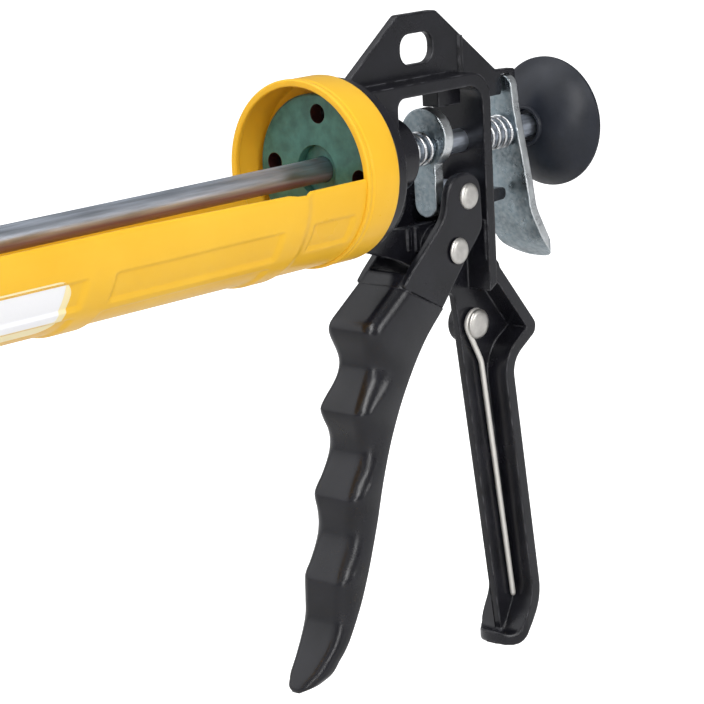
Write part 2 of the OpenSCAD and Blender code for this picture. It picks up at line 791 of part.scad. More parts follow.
module pivot_rivet() {
    color("silver")
    rivet(pivot, pin_d / 2, head_d / 2, trigger_w + 2 * part_gap, 1.2);
}

module drive_pin() {
    color("silver")
    rivet(pin_c, pin_d / 2, head_d / 2, trigger_w, 1.2);
}

module drive_roller() {
    color("gray")
    difference() {
        cross_pin(pin_c, roller_d / 2, 2 * (cheek_in - part_gap));
        cross_pin(pin_c, pin_d / 2 + run_gap, trigger_w);
    }
}

cradle();
nose_plate();
nose_rivets();
retaining_disc();
body_frame();
handle_rivet();
piercing_wire();
push_rod();
piston_plate();
piston_backer();
piston_nut();
knob();
drive_plate();
drive_spring();
release_lever();
release_spring();
trigger();
pivot_rivet();
drive_pin();
drive_roller();
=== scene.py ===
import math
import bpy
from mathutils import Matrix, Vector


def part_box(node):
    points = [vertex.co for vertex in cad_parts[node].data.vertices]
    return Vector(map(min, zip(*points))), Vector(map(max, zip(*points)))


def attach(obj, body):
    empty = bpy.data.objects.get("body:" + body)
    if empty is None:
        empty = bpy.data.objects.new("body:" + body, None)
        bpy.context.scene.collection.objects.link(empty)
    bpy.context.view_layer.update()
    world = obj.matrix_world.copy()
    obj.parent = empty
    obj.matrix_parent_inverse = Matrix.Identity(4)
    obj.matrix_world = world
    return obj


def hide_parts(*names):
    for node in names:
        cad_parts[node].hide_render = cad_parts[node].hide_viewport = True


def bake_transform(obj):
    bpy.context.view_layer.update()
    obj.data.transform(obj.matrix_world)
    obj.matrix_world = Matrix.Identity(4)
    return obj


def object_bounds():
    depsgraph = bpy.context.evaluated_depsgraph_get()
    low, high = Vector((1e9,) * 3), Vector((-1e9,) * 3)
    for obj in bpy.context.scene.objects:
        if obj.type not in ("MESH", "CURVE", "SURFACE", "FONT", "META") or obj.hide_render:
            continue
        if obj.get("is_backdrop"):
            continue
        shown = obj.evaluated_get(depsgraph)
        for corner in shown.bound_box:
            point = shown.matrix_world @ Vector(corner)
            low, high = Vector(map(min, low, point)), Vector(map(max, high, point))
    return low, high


bl_info = {
    "name": "Caulking Gun",
    "version": (1, 0, 0),
    "blender": (4, 5, 0),
    "location": "View3D > Sidebar > Caulking Gun",
    "description": "Builds a cartridge caulking gun over its packed frame",
    "category": "Object",
}

from types import SimpleNamespace

import bmesh
import bpy
import numpy as np
from bpy.props import FloatProperty, FloatVectorProperty, IntProperty, PointerProperty
from bpy.types import Operator, Panel, PropertyGroup
from mathutils import Matrix, Vector

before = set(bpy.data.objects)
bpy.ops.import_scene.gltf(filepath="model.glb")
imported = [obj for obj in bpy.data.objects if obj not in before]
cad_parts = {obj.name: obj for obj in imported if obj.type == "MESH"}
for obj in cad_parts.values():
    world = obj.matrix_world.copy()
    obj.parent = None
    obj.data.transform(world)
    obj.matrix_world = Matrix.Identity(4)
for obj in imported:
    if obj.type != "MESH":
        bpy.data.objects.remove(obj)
MM = 0.001

# Places that more than one piece shares, as [x, z] in millimetres
HANDLE_RIVET = (58.2, -57.2)
DRIVE_PIN = (49.0, -15.3)
PIVOT = (42.8, -31.0)


class GunSizes(PropertyGroup):
    """Sizes of the pieces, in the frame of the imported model."""

    cradle_r: FloatProperty(name="Cradle radius", default=0.0272, unit="LENGTH", precision=5,
                            description="Outer radius of the trough and of the collar")
    sheet_t: FloatProperty(name="Sheet thickness", default=0.0012, unit="LENGTH", precision=5,
                           description="Thickness of the cradle's sheet")
    cradle_turn: FloatProperty(name="Cradle turn", default=math.radians(-5.0), subtype="ANGLE",
                               description="Turn of the cradle about the push rod")
    collar_len: FloatProperty(name="Collar length", default=0.014, unit="LENGTH", precision=5,
                              description="Length of the closed collar along the rod")
    waist_len: FloatProperty(name="Waist length", default=0.023, unit="LENGTH", precision=5,
                             description="Length of the narrower stretch in front of the collar")
    nose_x: FloatProperty(name="Nose plate's back", default=-0.231, unit="LENGTH", precision=5,
                          description="Place of the nose plate along the rod")
    rod_r: FloatProperty(name="Rod radius", default=0.0036, unit="LENGTH", precision=5,
                         description="Radius of the push rod")
    knob_r: FloatProperty(name="Knob radius", default=0.02045, unit="LENGTH", precision=5,
                          description="Radius of the pull knob at its rim")
    trigger_half: FloatProperty(name="Trigger half width", default=0.00997, unit="LENGTH", precision=5,
                                description="Half of the finger grip's width at its top")
    cheek_half: FloatProperty(name="Cheek half width", default=0.0097, unit="LENGTH", precision=5,
                              description="Half of the width over the trigger's cheeks")
    cheek_in: FloatProperty(name="Cheek inner half width", default=0.00705, unit="LENGTH", precision=5,
                            description="Half of the gap between the trigger's cheeks")
    coil_r: FloatProperty(name="Spring mean radius", default=0.00475, unit="LENGTH", precision=5,
                          description="Radius of both springs at the middle of their wire")
    pierce_r: FloatProperty(name="Piercing wire radius", default=0.00088, unit="LENGTH", precision=5,
                            description="Radius of the piercing wire")
    wire_r: FloatProperty(name="Spring wire radius", default=0.00058, unit="LENGTH", precision=5,
                          description="Radius of the springs' wire")
    around: IntProperty(name="Points round a turned piece", default=192, min=24,
                        description="Number of points on each circle of the collar and of the knob")


class GunColours(PropertyGroup):
    """Base colours, in linear light."""

    enamel: FloatVectorProperty(name="Yellow enamel", size=3, subtype="COLOR", default=(0.83, 0.49, 0.038),
                                description="Enamel on the cradle, the collar and the nose plate")
    coat: FloatVectorProperty(name="Black powder coat", size=3, subtype="COLOR", default=(0.0055, 0.0055, 0.0075),
                              description="Coat on the cast body and the trigger")
    teal: FloatVectorProperty(name="Green disc", size=3, subtype="COLOR", default=(0.030, 0.105, 0.088),
                              description="Coat on the retaining disc")
    zinc: FloatVectorProperty(name="Zinc plate", size=3, subtype="COLOR", default=(0.335, 0.42, 0.465),
                              description="Plating on the drive plate, the lever and the piston")
    rod: FloatVectorProperty(name="Rod steel", size=3, subtype="COLOR", default=(0.33, 0.36, 0.41),
                             description="Bare steel of the push rod and the roller")
    rivet: FloatVectorProperty(name="Rivet steel", size=3, subtype="COLOR", default=(0.50, 0.485, 0.46),
                               description="Plated steel of the rivets, and made paler for the piercing wire")
    spring: FloatVectorProperty(name="Spring wire", size=3, subtype="COLOR", default=(0.66, 0.67, 0.68),
                                description="Bright wire of both springs")
    knob: FloatVectorProperty(name="Knob", size=3, subtype="COLOR", default=(0.0095, 0.0112, 0.0165),
                              description="Black plastic of the pull knob")
    film: FloatVectorProperty(name="Label film", size=3, subtype="COLOR", default=(0.86, 0.74, 0.42),
                              description="Clear film of the blank label, as it looks over the enamel")
    paper: FloatVectorProperty(name="Label paper", size=3, subtype="COLOR", default=(0.82, 0.82, 0.84),
                               description="White paper of the blank label")


def settings(context):
    """The sizes as plain numbers, with lengths in millimetres and angles in degrees, and the colours."""
    sizes = context.scene.gun_sizes
    scale = {"LENGTH": 1 / MM, "ROTATION": math.degrees(1.0)}
    unit = {name: sizes.bl_rna.properties[name].unit for name in GunSizes.__annotations__}
    plain = {name: getattr(sizes, name) * scale.get(unit[name], 1) for name in unit}
    return SimpleNamespace(**plain), context.scene.gun_colours


# ---------- mesh helpers ----------


def mesh_object(name, verts, faces, sharp_deg=35.0, turn_deg=0.0):
    """A mesh from an array of points in millimetres and a list of faces. The points are turned about the rod's
    axis by turn_deg: y' = y cos - z sin, z' = y sin + z cos."""
    v = np.asarray(verts, dtype=float).reshape(-1, 3)
    if turn_deg:
        c, s = math.cos(math.radians(turn_deg)), math.sin(math.radians(turn_deg))
        v = np.column_stack([v[:, 0], c * v[:, 1] - s * v[:, 2], s * v[:, 1] + c * v[:, 2]])
    mesh = bpy.data.meshes.new(name)
    mesh.from_pydata((v * MM).tolist(), [], faces)
    mesh.validate()
    work = bmesh.new()
    work.from_mesh(mesh)
    bmesh.ops.remove_doubles(work, verts=work.verts, dist=1e-7)
    bmesh.ops.recalc_face_normals(work, faces=work.faces)
    work.to_mesh(mesh)
    work.free()
    mesh.shade_smooth()
    mesh.set_sharp_from_angle(angle=math.radians(sharp_deg))
    obj = bpy.data.objects.new(name, mesh)
    bpy.context.scene.collection.objects.link(obj)
    return obj


def ring_faces(levels, count, cap=True):
    """Quads between rings of count points: point k of ring i joins points k and k + 1 of rings i and i + 1, and
    the last point joins the first. With cap, one more face closes each end."""
    i, k = np.meshgrid(np.arange(levels - 1), np.arange(count), indexing="ij")
    n = (k + 1) % count
    quads = np.stack([i * count + k, (i + 1) * count + k, (i + 1) * count + n, i * count + n], -1).reshape(-1, 4)
    faces = quads.tolist()
    if cap:
        faces.append(list(range(count - 1, -1, -1)))
        faces.append(list(range((levels - 1) * count, levels * count)))
    return faces


def loft(name, rings, cap=True, **kw):
    """Skin through an array of rings, shaped levels by points by 3, in order from end to end."""
    rings = np.asarray(rings, dtype=float)
    return mesh_object(name, rings.reshape(-1, 3), ring_faces(rings.shape[0], rings.shape[1], cap), **kw)


def arc_points(centre, radius, a0, a1, n):
    """Points of an arc: centre + radius (cos a, sin a), with n even steps of a from a0 to a1."""
    a = np.linspace(a0, a1, n)
    return np.column_stack([centre[0] + radius * np.cos(a), centre[1] + radius * np.sin(a)])


def rounded(points, radii, steps=5, closed=False):
    """A polyline whose corners become arcs: the arc's centre lies on the corner's bisector, at radius / sin(half
    the angle), and the arc touches both sides at radius / tan(half the angle) from the corner."""
    p = np.asarray(points, dtype=float)
    radii = np.broadcast_to(np.asarray(radii, dtype=float), (len(p),))
    nearly_straight = math.radians(89)
    out = []
    for i, (q, r) in enumerate(zip(p, radii)):
        if r <= 0 or (not closed and i in (0, len(p) - 1)):
            out.append(q)
            continue
        a = p[i - 1] - q
        b = p[(i + 1) % len(p)] - q
        la, lb = np.linalg.norm(a), np.linalg.norm(b)
        a, b = a / la, b / lb
        half = math.acos(float(np.clip(a @ b, -1, 1))) / 2
        if half > nearly_straight:
            out.append(q)
            continue
        r = min(r, 0.49 * min(la, lb) * math.tan(half))
        centre = q + (a + b) / np.linalg.norm(a + b) * r / math.sin(half)
        t0 = q + a * r / math.tan(half) - centre
        t1 = q + b * r / math.tan(half) - centre
        a0 = math.atan2(t0[1], t0[0])
        turn = (math.atan2(t1[1], t1[0]) - a0 + math.pi) % (2 * math.pi) - math.pi
        out.extend(arc_points(centre, r, a0, a0 + turn, steps + 1))
    return np.array(out)


def around_axis(profile, around):
    """Points of an [x, radius] profile at even angles a about the rod: y = r sin(a), z = -r cos(a)."""
    p = np.asarray(profile, dtype=float)
    a = np.linspace(0, 2 * math.pi, around, endpoint=False)
    x = np.broadcast_to(p[:, 0], (around, len(p)))
    return np.stack([x, np.outer(np.sin(a), p[:, 1]), np.outer(-np.cos(a), p[:, 1])], -1)


def turned(name, profile, around, **kw):
    """A closed [x, radius] profile turned about the rod's axis, with quads between neighbouring angles."""
    rings = around_axis(profile, around)
    count = rings.shape[1]
    i, k = np.meshgrid(np.arange(around), np.arange(count), indexing="ij")
    j, n = (i + 1) % around, (k + 1) % count
    quads = np.stack([i * count + k, j * count + k, j * count + n, i * count + n], -1).reshape(-1, 4)
    return mesh_object(name, rings.reshape(-1, 3), quads.tolist(), **kw)


def turned_on_axis(name, profile, around, **kw):
    """An open [x, radius] profile that starts and ends on the axis, turned about it. Its two end points become
    poles, each joined to the nearest ring by a fan of triangles."""
    p = np.asarray(profile, dtype=float)
    rings = around_axis(p[1:-1], around).transpose(1, 0, 2)
    verts = np.vstack([rings.reshape(-1, 3), [[p[0, 0], 0, 0], [p[-1, 0], 0, 0]]])
    first, last = len(verts) - 2, len(verts) - 1
    k = np.arange(around)
    n = (k + 1) % around
    base = (len(p) - 3) * around
    faces = ring_faces(len(p) - 2, around, cap=False)
    faces += np.column_stack([np.full(around, first), n, k]).tolist()
    faces += np.column_stack([np.full(around, last), base + k, base + n]).tolist()
    return mesh_object(name, verts, faces, **kw)


def plate(name, outline, half_in, half_out, side, bevel=0.4):
    """An [x, z] outline made into a plate: the outline at y = half_in and again at y = half_out on one side."""
    o = np.asarray(outline, dtype=float)
    ys = [side * half_in, side * half_out]
    rings = np.stack([np.column_stack([o[:, 0], np.full(len(o), y), o[:, 1]]) for y in ys])
    obj = loft(name, rings)
    add_bevel(obj, bevel, 3)
    return obj


def add_bevel(obj, width_mm, segments=2, angle_deg=30.0):
    """Rounds the sharp edges and keeps the flats flat."""
    mod = obj.modifiers.new("edges", "BEVEL")
    mod.width = width_mm * MM
    mod.segments = segments
    mod.limit_method = "ANGLE"
    mod.angle_limit = math.radians(angle_deg)
    mod.harden_normals = True
    mod.use_clamp_overlap = True
    return mod


def cad_copy(node, bevel_mm=0.3, segments=2, angle_deg=30.0, soft_below=None, soft_mm=0.0):
    """A copy of a node's mesh with its doubled points merged, its flats joined and its edges rounded inwards.
    Below the height soft_below, in metres, the edges are first rounded by soft_mm."""
    merge, flat_deg = 2e-6, 1.0
    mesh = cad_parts[node].data.copy()
    work = bmesh.new()
    work.from_mesh(mesh)
    bmesh.ops.remove_doubles(work, verts=work.verts, dist=merge)
    bmesh.ops.dissolve_limit(work, angle_limit=math.radians(flat_deg), verts=work.verts, edges=work.edges,
                             delimit={"NORMAL"})
    bmesh.ops.recalc_face_normals(work, faces=work.faces)
    if soft_below is not None:
        weight = work.edges.layers.float.new("bevel_weight_edge")
        for edge in work.edges:
            if len(edge.link_faces) == 2 and edge.calc_face_angle(0.0) > math.radians(angle_deg):
                edge[weight] = float(max(v.co.z for v in edge.verts) < soft_below)
    work.to_mesh(mesh)
    work.free()
    mesh.materials.clear()
    if "custom_normal" in mesh.attributes:
        mesh.attributes.remove(mesh.attributes["custom_normal"])
    mesh.shade_smooth()
    mesh.set_sharp_from_angle(angle=math.radians(angle_deg))
    obj = bpy.data.objects.new(node + "_skin", mesh)
    bpy.context.scene.collection.objects.link(obj)
    if soft_below is not None:
        mod = add_bevel(obj, soft_mm, segments)
        mod.limit_method, mod.use_clamp_overlap = "WEIGHT", False
    if bevel_mm > 0:
        add_bevel(obj, bevel_mm, segments, angle_deg)
    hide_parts(node)
    return obj


def smooth(x):
    """0 below 0, 1 above 1, and 3x^2 - 2x^3 between."""
    x = np.clip(x, 0.0, 1.0)
    return x * x * (3 - 2 * x)


def eased(table, z):
    """A smooth curve through [z, value] pairs: cubic Hermite spans with centred slopes."""
    t = np.asarray(sorted(table), dtype=float)
    x, y = t[:, 0], t[:, 1]
    m = np.gradient(y, x)
    z = np.clip(np.asarray(z, dtype=float), x[0], x[-1])
    i = np.clip(np.searchsorted(x, z, side="right") - 1, 0, len(x) - 2)
    h = x[i + 1] - x[i]
    u = (z - x[i]) / h
    return ((2 * u**3 - 3 * u**2 + 1) * y[i] + (u**3 - 2 * u**2 + u) * h * m[i]
            + (3 * u**2 - 2 * u**3) * y[i + 1] + (u**3 - u**2) * h * m[i + 1])


def finish_piece(obj, material, body):
    """Gives a piece its material and its body."""
    obj.data.materials.clear()
    obj.data.materials.append(material)
    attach(obj, body)
    return obj


# ---------- materials ----------


def new_group(name, inputs, output):
    """An empty shader group with its inputs, given as name, kind and value, and one value output."""
    group = bpy.data.node_groups.new(name, "ShaderNodeTree")
    for label, kind, value in inputs:
        group.interface.new_socket(label, in_out="INPUT", socket_type=kind).default_value = value
    group.interface.new_socket(output, in_out="OUTPUT", socket_type="NodeSocketFloat")
    return group, group.nodes.new("NodeGroupInput"), group.nodes.new("NodeGroupOutput")


def grain_group():
    """Shared group: layered noise on Object coordinates, stretched by a vector, as a value from Low to High."""
    name = "Grain"
    if name in bpy.data.node_groups:
        return bpy.data.node_groups[name]
    g, inp, out = new_group(name, (("Stretch", "NodeSocketVector", (1.0, 1.0, 1.0)),
                                   ("Scale", "NodeSocketFloat", 200.0), ("Low", "NodeSocketFloat", 0.0),
                                   ("High", "NodeSocketFloat", 1.0)), "Value")
    coord, mul = g.nodes.new("ShaderNodeTexCoord"), g.nodes.new("ShaderNodeVectorMath")
    mul.operation = "MULTIPLY"
    noise, ramp = g.nodes.new("ShaderNodeTexNoise"), g.nodes.new("ShaderNodeMapRange")
    noise.inputs["Detail"].default_value = 5.0
    noise.inputs["Roughness"].default_value = 0.55
    ramp.inputs["From Min"].default_value = 0.32
    ramp.inputs["From Max"].default_value = 0.68
    link = g.links.new
    link(coord.outputs["Object"], mul.inputs[0])
    link(inp.outputs["Stretch"], mul.inputs[1])
    link(mul.outputs[0], noise.inputs["Vector"])
    link(inp.outputs["Scale"], noise.inputs["Scale"])
    link(noise.outputs["Fac"], ramp.inputs["Value"])
    link(inp.outputs["Low"], ramp.inputs["To Min"])
    link(inp.outputs["High"], ramp.inputs["To Max"])
    link(ramp.outputs["Result"], out.inputs["Value"])
    return g


def wear_and_sheen_group():
    """Shared group: a mask that reaches Amount on sharp edges, found where the rounded normal leaves the true
    one, broken up by noise. It marks rubbed edges, and also a painted edge highlight."""
    name = "Edge Wear"
    if name in bpy.data.node_groups:
        return bpy.data.node_groups[name]
    g, inp, out = new_group(name, (("Amount", "NodeSocketFloat", 0.5),), "Mask")
    bevel, geo = g.nodes.new("ShaderNodeBevel"), g.nodes.new("ShaderNodeNewGeometry")
    bevel.samples = 4
    bevel.inputs["Radius"].default_value = 0.0007
    dot = g.nodes.new("ShaderNodeVectorMath")
    dot.operation = "DOT_PRODUCT"
    ramp = g.nodes.new("ShaderNodeMapRange")
    ramp.inputs["From Min"].default_value = 0.99
    ramp.inputs["From Max"].default_value = 0.86
    noise, coord = g.nodes.new("ShaderNodeTexNoise"), g.nodes.new("ShaderNodeTexCoord")
    noise.inputs["Scale"].default_value = 260.0
    noise.inputs["Detail"].default_value = 4.0
    cut = g.nodes.new("ShaderNodeMapRange")
    cut.inputs["From Min"].default_value = 0.42
    cut.inputs["From Max"].default_value = 0.62
    both, scaled = g.nodes.new("ShaderNodeMath"), g.nodes.new("ShaderNodeMath")
    both.operation = scaled.operation = "MULTIPLY"
    link = g.links.new
    link(bevel.outputs["Normal"], dot.inputs[0])
    link(geo.outputs["Normal"], dot.inputs[1])
    link(dot.outputs["Value"], ramp.inputs["Value"])
    link(coord.outputs["Object"], noise.inputs["Vector"])
    link(noise.outputs["Fac"], cut.inputs["Value"])
    link(ramp.outputs["Result"], both.inputs[0])
    link(cut.outputs["Result"], both.inputs[1])
    link(both.outputs["Value"], scaled.inputs[0])
    link(inp.outputs["Amount"], scaled.inputs[1])
    link(scaled.outputs["Value"], out.inputs["Mask"])
    return g


class Shader:
    """Small builder for one material round a Principled shader, kept apart from the frame's own materials."""

    def __init__(self, name, base, metallic=0.0, roughness=0.4, specular=0.5):
        name = "finish_" + name
        old = bpy.data.materials.get(name)
        self.fresh = old is None
        self.mat = old or bpy.data.materials.new(name)
        if not self.fresh:
            return
        self.mat.use_nodes = True
        self.mat.diffuse_color = (*base, 1.0)
        self.tree = self.mat.node_tree
        self.bsdf = self.tree.nodes["Principled BSDF"]
        self.bsdf.inputs["Base Color"].default_value = (*base, 1.0)
        self.bsdf.inputs["Metallic"].default_value = metallic
        self.bsdf.inputs["Roughness"].default_value = roughness
        self.bsdf.inputs["Specular IOR Level"].default_value = specular
        self.base = base

    def node(self, kind):
        """A new node in the material's tree."""
        return self.tree.nodes.new(kind)

    def link(self, a, b):
        """Joins output a to input b."""
        self.tree.links.new(a, b)

    def grain(self, scale, low=0.0, high=1.0, stretch=(1.0, 1.0, 1.0)):
        """The Grain group's value."""
        n = self.node("ShaderNodeGroup")
        n.node_tree = grain_group()
        n.inputs["Scale"].default_value = scale
        n.inputs["Stretch"].default_value = stretch
        n.inputs["Low"].default_value = low
        n.inputs["High"].default_value = high
        return n.outputs["Value"]

    def wear(self, amount):
        """The Edge Wear group's mask."""
        n = self.node("ShaderNodeGroup")
        n.node_tree = wear_and_sheen_group()
        n.inputs["Amount"].default_value = amount
        return n.outputs["Mask"]

    def part(self, vector, axis):
        """One coordinate of a vector."""
        n = self.node("ShaderNodeSeparateXYZ")
        self.link(vector, n.inputs[0])
        return n.outputs[axis]

    def vector(self, operation, value, fixed):
        """A Vector Math node over a value and a fixed vector."""
        n = self.node("ShaderNodeVectorMath")
        n.operation = operation
        n.inputs[1].default_value = fixed
        self.link(value, n.inputs[0])
        return n

    def calc(self, operation, *values):
        """A Math node's answer."""
        n = self.node("ShaderNodeMath")
        n.operation = operation
        for socket, value in zip(n.inputs, values):
            self.link(value, socket)
        return n.outputs[0]

    def remap(self, value, low, high, to_low=0.0, to_high=1.0):
        """A value carried from the span low to high over to the span to_low to to_high, and held at its ends."""
        n = self.node("ShaderNodeMapRange")
        for label, number in (("From Min", low), ("From Max", high), ("To Min", to_low), ("To Max", to_high)):
            n.inputs[label].default_value = number
        self.link(value, n.inputs["Value"])
        return n.outputs["Result"]

    def mix(self, fac, a, b):
        """Colour a where fac is 0 and colour b where it is 1; each is a colour or a socket."""
        n = self.node("ShaderNodeMix")
        n.data_type = "RGBA"
        self.link(fac, n.inputs["Factor"])
        for socket, value in ((n.inputs[6], a), (n.inputs[7], b)):
            if hasattr(value, "links"):
                self.link(value, socket)
            else:
                socket.default_value = (*value, 1.0)
        return n.outputs[2]

    def bump(self, height, strength, distance=0.0002, edge_mm=0.0):
        """Fine height on the surface; with edge_mm the edges also look rounded by that radius."""
        n = self.node("ShaderNodeBump")
        n.inputs["Strength"].default_value = strength
        n.inputs["Distance"].default_value = distance
        self.link(height, n.inputs["Height"])
        if edge_mm > 0:
            edge = self.node("ShaderNodeBevel")
            edge.samples = 6
            edge.inputs["Radius"].default_value = edge_mm * MM
            self.link(edge.outputs["Normal"], n.inputs["Normal"])
        self.link(n.outputs["Normal"], self.bsdf.inputs["Normal"])

    def set(self, socket, output):
        """Feeds a socket of the Principled shader."""
        self.link(output, self.bsdf.inputs[socket])


def enamel(colours):
    """Glossy yellow enamel: even colour, a faint orange peel and slightly uneven gloss."""
    s = Shader("yellow_enamel", tuple(colours.enamel), roughness=0.30, specular=0.16)
    if s.fresh:
        dark = (s.base[0] * 0.93, s.base[1] * 0.86, s.base[2] * 0.6)
        s.set("Base Color", s.mix(s.grain(18.0), s.base, dark))
        s.set("Roughness", s.grain(60.0, 0.27, 0.34))
        s.bump(s.grain(420.0), 0.035)
        s.bsdf.inputs["Coat Weight"].default_value = 0.06
        s.bsdf.inputs["Coat Roughness"].default_value = 0.08
    return s.mat


def powder_coat(colours):
    """Semi-gloss black coat on a casting: fine texture, and grey edges, partly rubbed paint and partly a painted
    highlight.
    """
    s = Shader("black_paint", tuple(colours.coat), roughness=0.28, specular=0.38)
    if s.fresh:
        light = tuple(c * 1.9 for c in s.base)
        spots = s.mix(s.grain(95.0), s.base, light)
        # grey on the edges: partly rubbed paint, partly a painted highlight for the glints on rounded edges
        s.set("Base Color", s.mix(s.wear(0.5), spots, (0.17, 0.17, 0.185)))
        s.set("Roughness", s.grain(70.0, 0.20, 0.29))
        s.bump(s.grain(900.0), 0.06, edge_mm=1.1)
    return s.mat


def teal_coat(colours, holes=()):
    """Satin green coat with small speckles. Inside each of the holes, given as [y, z] in metres, it is dark
    red-brown, a painted shade for the dark seen in the holes: the distance from a hole's middle is measured with x
    set to 0."""
    s = Shader("green_plastic", tuple(colours.teal), roughness=0.42)
    if s.fresh:
        light = tuple(c * 1.7 + 0.006 for c in s.base)
        colour = s.mix(s.grain(260.0), s.base, light)
        flat = s.vector("MULTIPLY", s.node("ShaderNodeTexCoord").outputs["Object"], (0.0, 1.0, 1.0)).outputs[0]
        near = None
        for y, z in holes:
            far = s.vector("DISTANCE", flat, (0.0, y, z)).outputs["Value"]
            near = far if near is None else s.calc("MINIMUM", near, far)
        if near is not None:
            # dark red-brown in the holes: painted shade
            colour = s.mix(s.remap(near, 0.00290, 0.00278), colour, (0.022, 0.006, 0.005))
        s.set("Base Color", colour)
        s.set("Roughness", s.grain(120.0, 0.30, 0.48))
        s.bump(s.grain(700.0), 0.08, edge_mm=0.4)
    return s.mat


def zinc(colours):
    """Zinc plate: blue-grey metal with cloudy gloss, darker stains, fine pits, and pale edges, partly cut and
    rubbed metal and partly a painted highlight; the cut edges face away from the rod's direction."""
    s = Shader("zinc_plate", tuple(colours.zinc), metallic=1.0, roughness=0.34)
    if s.fresh:
        dark = tuple(c * 0.4 for c in s.base)
        cloud = s.mix(s.grain(75.0), s.base, dark)
        speck = s.mix(s.grain(650.0, 0.0, 0.35), cloud, (0.62, 0.66, 0.68))
        along_rod = s.calc("ABSOLUTE", s.part(s.node("ShaderNodeNewGeometry").outputs["Normal"], "X"))
        # pale edges: partly bare cut metal, partly a painted highlight
        sheared_and_sheen = s.mix(s.remap(along_rod, 0.45, 0.20, to_high=0.75), speck, (0.76, 0.78, 0.79))
        s.set("Base Color", s.mix(s.wear(1.0), sheared_and_sheen, (0.84, 0.86, 0.86)))
        s.set("Roughness", s.grain(190.0, 0.20, 0.46))
        s.bump(s.grain(620.0), 0.22, edge_mm=0.7)
    return s.mat


def rod_steel(colours):
    """Drawn steel: streaks along the rod in colour, gloss and height, with a painted reflection of the yellow
    cradle, a red-brown band on its lower side ahead of the body. Where that band is painted it is less metallic."""
    s = Shader("rod_steel", tuple(colours.rod), metallic=1.0, roughness=0.36)
    if s.fresh:
        along = (0.05, 1.0, 1.0)
        pale = tuple(min(1.0, c * 1.8) for c in s.base)
        streaks = s.mix(s.grain(800.0, stretch=along), s.base, pale)
        normal = s.node("ShaderNodeNewGeometry").outputs["Normal"]
        place = s.node("ShaderNodeTexCoord").outputs["Object"]
        # red-brown band on the lower side ahead of the body: a painted reflection of the cradle
        below = s.remap(s.part(normal, "Z"), 0.05, -0.40, to_high=0.85)
        painted_cradle_reflection = s.calc("MULTIPLY", below, s.remap(s.part(place, "X"), 0.015, -0.015))
        s.set("Base Color", s.mix(painted_cradle_reflection, streaks, (0.17, 0.060, 0.085)))
        s.set("Metallic", s.remap(painted_cradle_reflection, 0.0, 1.0, 1.0, 0.25))
        s.set("Roughness", s.grain(500.0, 0.38, 0.56, along))
        s.bump(s.grain(1200.0, stretch=along), 0.10)
    return s.mat


def rivet_steel(colours):
    """Plated rivet steel with faint hammer marks."""
    s = Shader("rivet_steel", tuple(colours.rivet), metallic=1.0, roughness=0.4)
    if s.fresh:
        pale = tuple(min(1.0, c * 1.35) for c in s.base)
        s.set("Base Color", s.mix(s.grain(320.0), s.base, pale))
        s.set("Roughness", s.grain(240.0, 0.34, 0.50))
        s.bump(s.grain(420.0), 0.22)
    return s.mat


def wire_steel(colours):
    """Dull plated wire, paler and rougher than the rivets."""
    s = Shader("wire_steel", tuple(min(1.0, c * 1.55) for c in colours.rivet), metallic=0.75, roughness=0.55)
    if s.fresh:
        s.set("Roughness", s.grain(240.0, 0.5, 0.62))
    return s.mat


def spring_steel(colours):
    """Bright spring wire."""
    s = Shader("spring_steel", tuple(colours.spring), metallic=1.0, roughness=0.22)
    if s.fresh:
        s.set("Roughness", s.grain(300.0, 0.2, 0.36))
    return s.mat


def knob_plastic(colours):
    """Satin black plastic with faint scuffs round it."""
    s = Shader("black_plastic", tuple(colours.knob), roughness=0.40, specular=0.32)
    if s.fresh:
        light = tuple(c * 1.5 for c in s.base)
        s.set("Base Color", s.mix(s.grain(130.0), s.base, light))
        s.set("Roughness", s.grain(160.0, 0.36, 0.46))
        s.bump(s.grain(900.0), 0.04)
    return s.mat


def label_stock(name, colour, rough):
    """Blank label film or paper, very finely uneven."""
    s = Shader(name, tuple(colour), roughness=rough)
    if s.fresh:
        s.bump(s.grain(800.0), 0.03)
    return s.mat


# ---------- shapes ----------


def press(x, back, front, ramp=1.8):
    """1 inside a pressed panel along x and 0 outside it, with soft ramps."""
    return smooth((back - x) / ramp) * smooth((x - front) / ramp)


def cradle_radius(s, x, deg):
    """Outer radius of the trough at x and at deg from straight down: the full radius, less the waist, less the
    panels. Each step fades over a few millimetres along the rod, or a few degrees across it."""
    waist_in, panel_in, waist_panel_in = 0.72, 0.8, 0.7
    panel_len, panel_step = 62.0, 71.0
    low_half, flank_mid, flank_half = 38.6, 56.0, 10.6
    waist_end = -(s.collar_len + s.waist_len)
    r = s.cradle_r - waist_in * smooth((x - waist_end + 1.8) / 3.4)
    side = np.abs(deg)
    low = smooth((low_half - side) / 2.2)
    flank = smooth((flank_half - np.abs(side - flank_mid)) / 1.7)
    start = waist_end - 9.0
    while start > s.nose_x + 31.0:
        end = max(start - panel_len, s.nose_x + 16.0)
        r = r - panel_in * press(x, start + 0.3, end - 0.3) * np.maximum(low, flank)
        start -= panel_step
    return r - waist_panel_in * press(x, -s.collar_len - 2.6, waist_end + 2.6) * flank


def cradle_edge(s, x):
    """Height of the trough's edge over the rod's axis, before its turn, in straight stretches between [x, height]
    pairs: lowest at the waist's step."""
    waist_end = -(s.collar_len + s.waist_len)
    steps = [[-70, -0.4], [-17, -1.3], [-8, -1.5], [-4.5, -2.2], [-1.1, -2.4], [0.8, -1.6]]
    pts = [[s.nose_x, -0.4], *[[waist_end + x0, h] for x0, h in steps], [-s.collar_len, -1.6], [0, -1.6]]
    return np.interp(x, *np.array(pts).T)


